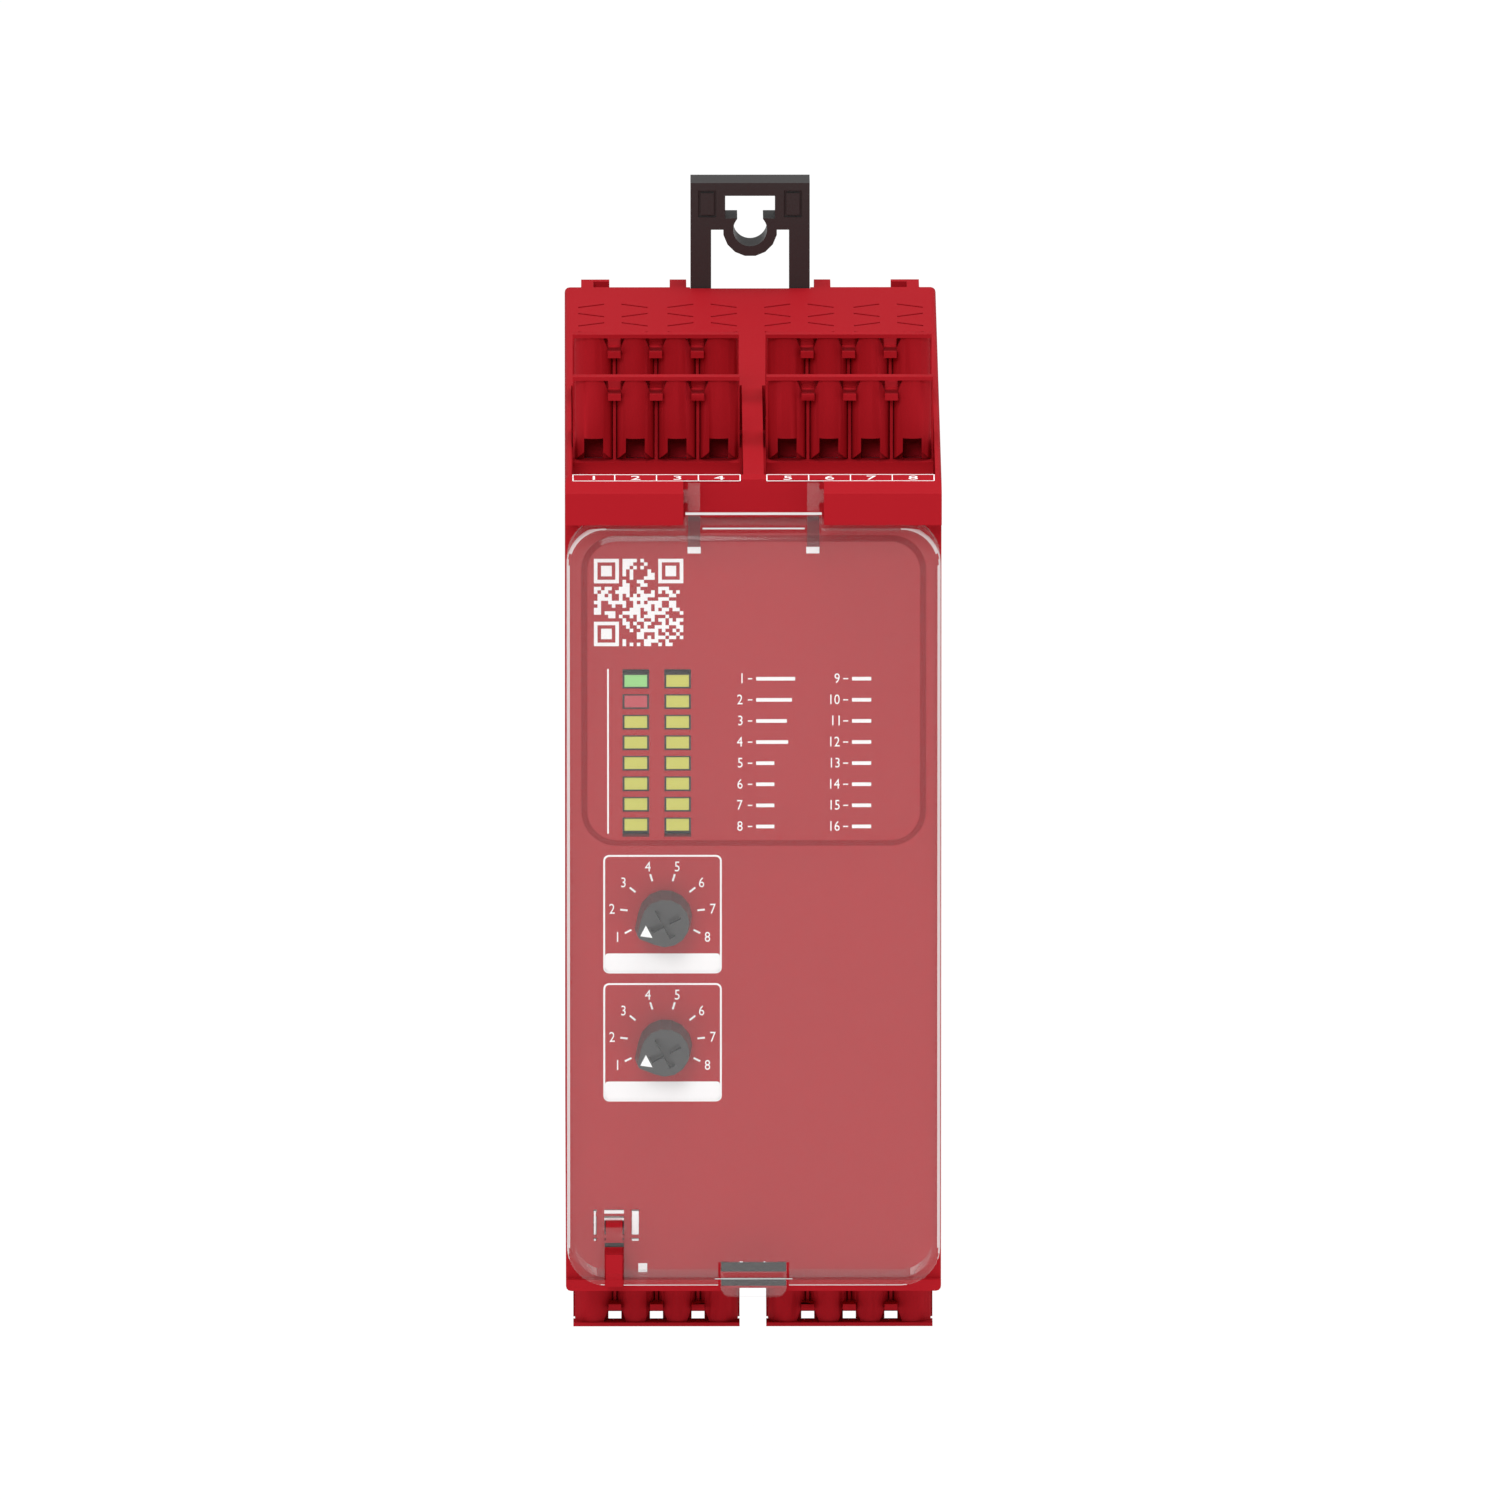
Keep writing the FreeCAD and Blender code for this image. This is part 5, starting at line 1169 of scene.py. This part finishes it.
class RELAY_OT_terminal_labels(bpy.types.Operator):
    """Prints the numbered cells on the sloped ledge ahead of the upper plugs"""
    bl_idname = "relay.terminal_labels"
    bl_label = "Terminal labels"

    # Ledge ahead of the plugs, in millimetres: its depth and fall, and where its cells start and end.
    ledge = 6.1
    drop = 1.07
    cell_from = 4.05
    cell_to = 6.0
    line = 0.13 * MM
    cap = 1.2 * MM
    clear = 0.012 * MM

    def execute(self, context):
        sizes = context.scene.relay_sizes
        lean = math.atan2(self.drop, self.ledge)
        middle = (self.cell_from + self.cell_to) / 2
        y = SHELL_LOW[1] + middle * MM
        z = SHELL_HIGH[2] - self.drop * (1 - middle / self.ledge) * MM + self.clear
        cells = cell_tree("white_pad_ink")
        tall = (self.cell_to - self.cell_from) * MM / math.cos(lean)
        for plug, side in enumerate(("left", "right")):
            low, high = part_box("plug_top_front_%s_housing" % side)
            x = (low[0] + high[0]) / 2
            grown("label_cells_" + side, cells, {
                "Count": POLES, "Pitch": sizes.pole_pitch, "Height": tall, "Line": self.line,
                "Ink": sizes.ink, "Centre": (x, y, z), "Lean": lean}, "white_pad_ink")
            mesh = bmesh.new()
            for i in range(POLES):
                numeral(mesh, str(plug * POLES + i + 1), (i - (POLES - 1) / 2) * sizes.pole_pitch,
                        -self.cap / 2, self.cap, -sizes.ink / 2, sizes.ink / 2, squeeze=1.5)
            mesh.transform(Matrix.Translation((x, y, z)) @ Matrix.Rotation(lean - math.radians(90), 4, "X"))
            piece("label_numbers_" + side, mesh, "white_pad_ink")
        return {"FINISHED"}


# ---- stage -----------------------------------------------------------------
def rays_of(tree, *kinds):
    """1 for rays of these kinds, 0 for all others."""
    rays = add(tree, "ShaderNodeLightPath").outputs
    seen = rays[kinds[0]]
    for kind in kinds[1:]:
        seen = add(tree, "ShaderNodeMath", {0: seen, 1: rays[kind]}, operation="MAXIMUM")
    return seen


def background_material():
    """White floor: seen plain white, and it still takes a soft shadow."""
    material = bpy.data.materials.new("white_studio_sweep")
    tree = bare_tree(material)
    plain_share = 0.94
    seen = rays_of(tree, "Is Camera Ray", "Is Glossy Ray", "Is Transmission Ray")
    shown = add(tree, "ShaderNodeMath", {0: seen, 1: plain_share}, operation="MULTIPLY")
    paint = add(tree, "ShaderNodeBsdfDiffuse", {"Color": WHITE})
    glow = add(tree, "ShaderNodeEmission", {"Color": WHITE, "Strength": 1.05})
    mixed = add(tree, "ShaderNodeMixShader", {0: shown, 1: paint, 2: glow})
    add(tree, "ShaderNodeOutputMaterial", {"Surface": mixed})
    return material


class RELAY_OT_stage(bpy.types.Operator):
    """Sets the floor, the plain light, and the camera slightly above the front"""
    bl_idname = "relay.stage"
    bl_label = "Stage"

    # Camera: degrees above the floor and round from the front, metres away, and its aim in millimetres.
    elevation = 12.5
    azimuth = -0.2155
    distance = 7.56
    lens = 1500.0
    target = (-0.14, -34.4, 0.0)
    floor_drop = 0.03
    floor_half = 30.0
    fill_strength = 0.42
    # Lamps: name, place, size and power.
    lamps = (("front", (-0.25, -1.3, 0.7), 0.5, 6.3), ("top", (0.1, -0.1, 1.6), 1.2, 18.5))

    def execute(self, context):
        scene = context.scene
        scene.view_settings.view_transform = "Standard"
        mesh = bmesh.new()
        floor_z = CAD_BOX[0][2] - self.floor_drop
        wide = self.floor_half
        mesh.faces.new([mesh.verts.new((x * wide, y * wide, floor_z)) for x, y in bar(-1, 1, -1, 1)])
        floor = stood("floor", mesh)
        floor.data.materials.append(background_material())
        self.world(scene)
        for lamp in self.lamps:
            self.lamp(scene, *lamp)
        self.camera(scene)
        return {"FINISHED"}

    def world(self, scene):
        scene.world = bpy.data.worlds.new("studio")
        tree = bare_tree(scene.world)
        fill = add(tree, "ShaderNodeBackground", {"Color": WHITE, "Strength": self.fill_strength})
        white = add(tree, "ShaderNodeBackground", {"Color": WHITE, "Strength": 1.0})
        seen = rays_of(tree, "Is Camera Ray", "Is Transmission Ray")
        mixed = add(tree, "ShaderNodeMixShader", {0: seen, 1: fill, 2: white})
        add(tree, "ShaderNodeOutputWorld", {"Surface": mixed})

    def lamp(self, scene, name, place, size, power):
        data = bpy.data.lights.new(name, "AREA")
        data.size = size
        data.energy = power
        lamp = bpy.data.objects.new(name, data)
        lamp.location = place
        lamp.rotation_euler = (-Vector(place)).to_track_quat("-Z", "Y").to_euler()
        scene.collection.objects.link(lamp)

    def camera(self, scene):
        data = bpy.data.cameras.new("camera")
        data.sensor_width = 36.0
        data.lens = self.lens
        data.clip_start = 0.1
        data.clip_end = 100.0
        camera = bpy.data.objects.new("camera", data)
        target = Vector(self.target) * MM
        up = math.radians(self.elevation)
        around = math.radians(self.azimuth)
        away = Vector((math.sin(around) * math.cos(up), -math.cos(around) * math.cos(up), math.sin(up)))
        camera.location = target + away * self.distance
        camera.rotation_euler = (-away).to_track_quat("-Z", "Y").to_euler()
        scene.collection.objects.link(camera)
        scene.camera = camera


# ---- add-on ----------------------------------------------------------------
class RELAY_PT_sidebar(bpy.types.Panel):
    """Lists the relay's steps and its main sizes and colours"""
    bl_idname = "RELAY_PT_sidebar"
    bl_label = "Safety relay"
    bl_space_type = "VIEW_3D"
    bl_region_type = "UI"
    bl_category = "Relay"

    def draw(self, context):
        for step in STEPS:
            self.layout.operator(step.bl_idname)
        for group in (context.scene.relay_sizes, context.scene.relay_plug, context.scene.relay_cover,
                      context.scene.relay_colours):
            for key in group.__annotations__:
                self.layout.prop(group, key)


STEPS = (RELAY_OT_finishes, RELAY_OT_plugs, RELAY_OT_clamps, RELAY_OT_cover, RELAY_OT_code_square,
         RELAY_OT_legend, RELAY_OT_panel_fittings, RELAY_OT_dials, RELAY_OT_pointers,
         RELAY_OT_terminal_labels, RELAY_OT_stage)
CLASSES = (RelayPrintSizes, RelayPlugSizes, RelayCoverSizes, RelayColours, *STEPS, RELAY_PT_sidebar)


def register():
    for item in CLASSES:
        bpy.utils.register_class(item)
    bpy.types.Scene.relay_sizes = PointerProperty(type=RelayPrintSizes)
    bpy.types.Scene.relay_plug = PointerProperty(type=RelayPlugSizes)
    bpy.types.Scene.relay_cover = PointerProperty(type=RelayCoverSizes)
    bpy.types.Scene.relay_colours = PointerProperty(type=RelayColours)


def unregister():
    del bpy.types.Scene.relay_colours
    del bpy.types.Scene.relay_cover
    del bpy.types.Scene.relay_plug
    del bpy.types.Scene.relay_sizes
    for item in reversed(CLASSES):
        bpy.utils.unregister_class(item)


def main():
    register()
    bpy.ops.relay.finishes()
    bpy.ops.relay.plugs()
    bpy.ops.relay.clamps()
    bpy.ops.relay.cover()
    bpy.ops.relay.code_square()
    bpy.ops.relay.legend()
    bpy.ops.relay.panel_fittings()
    bpy.ops.relay.dials()
    bpy.ops.relay.pointers()
    bpy.ops.relay.terminal_labels()
    bpy.ops.relay.stage()


if __name__ == "__main__":
    main()
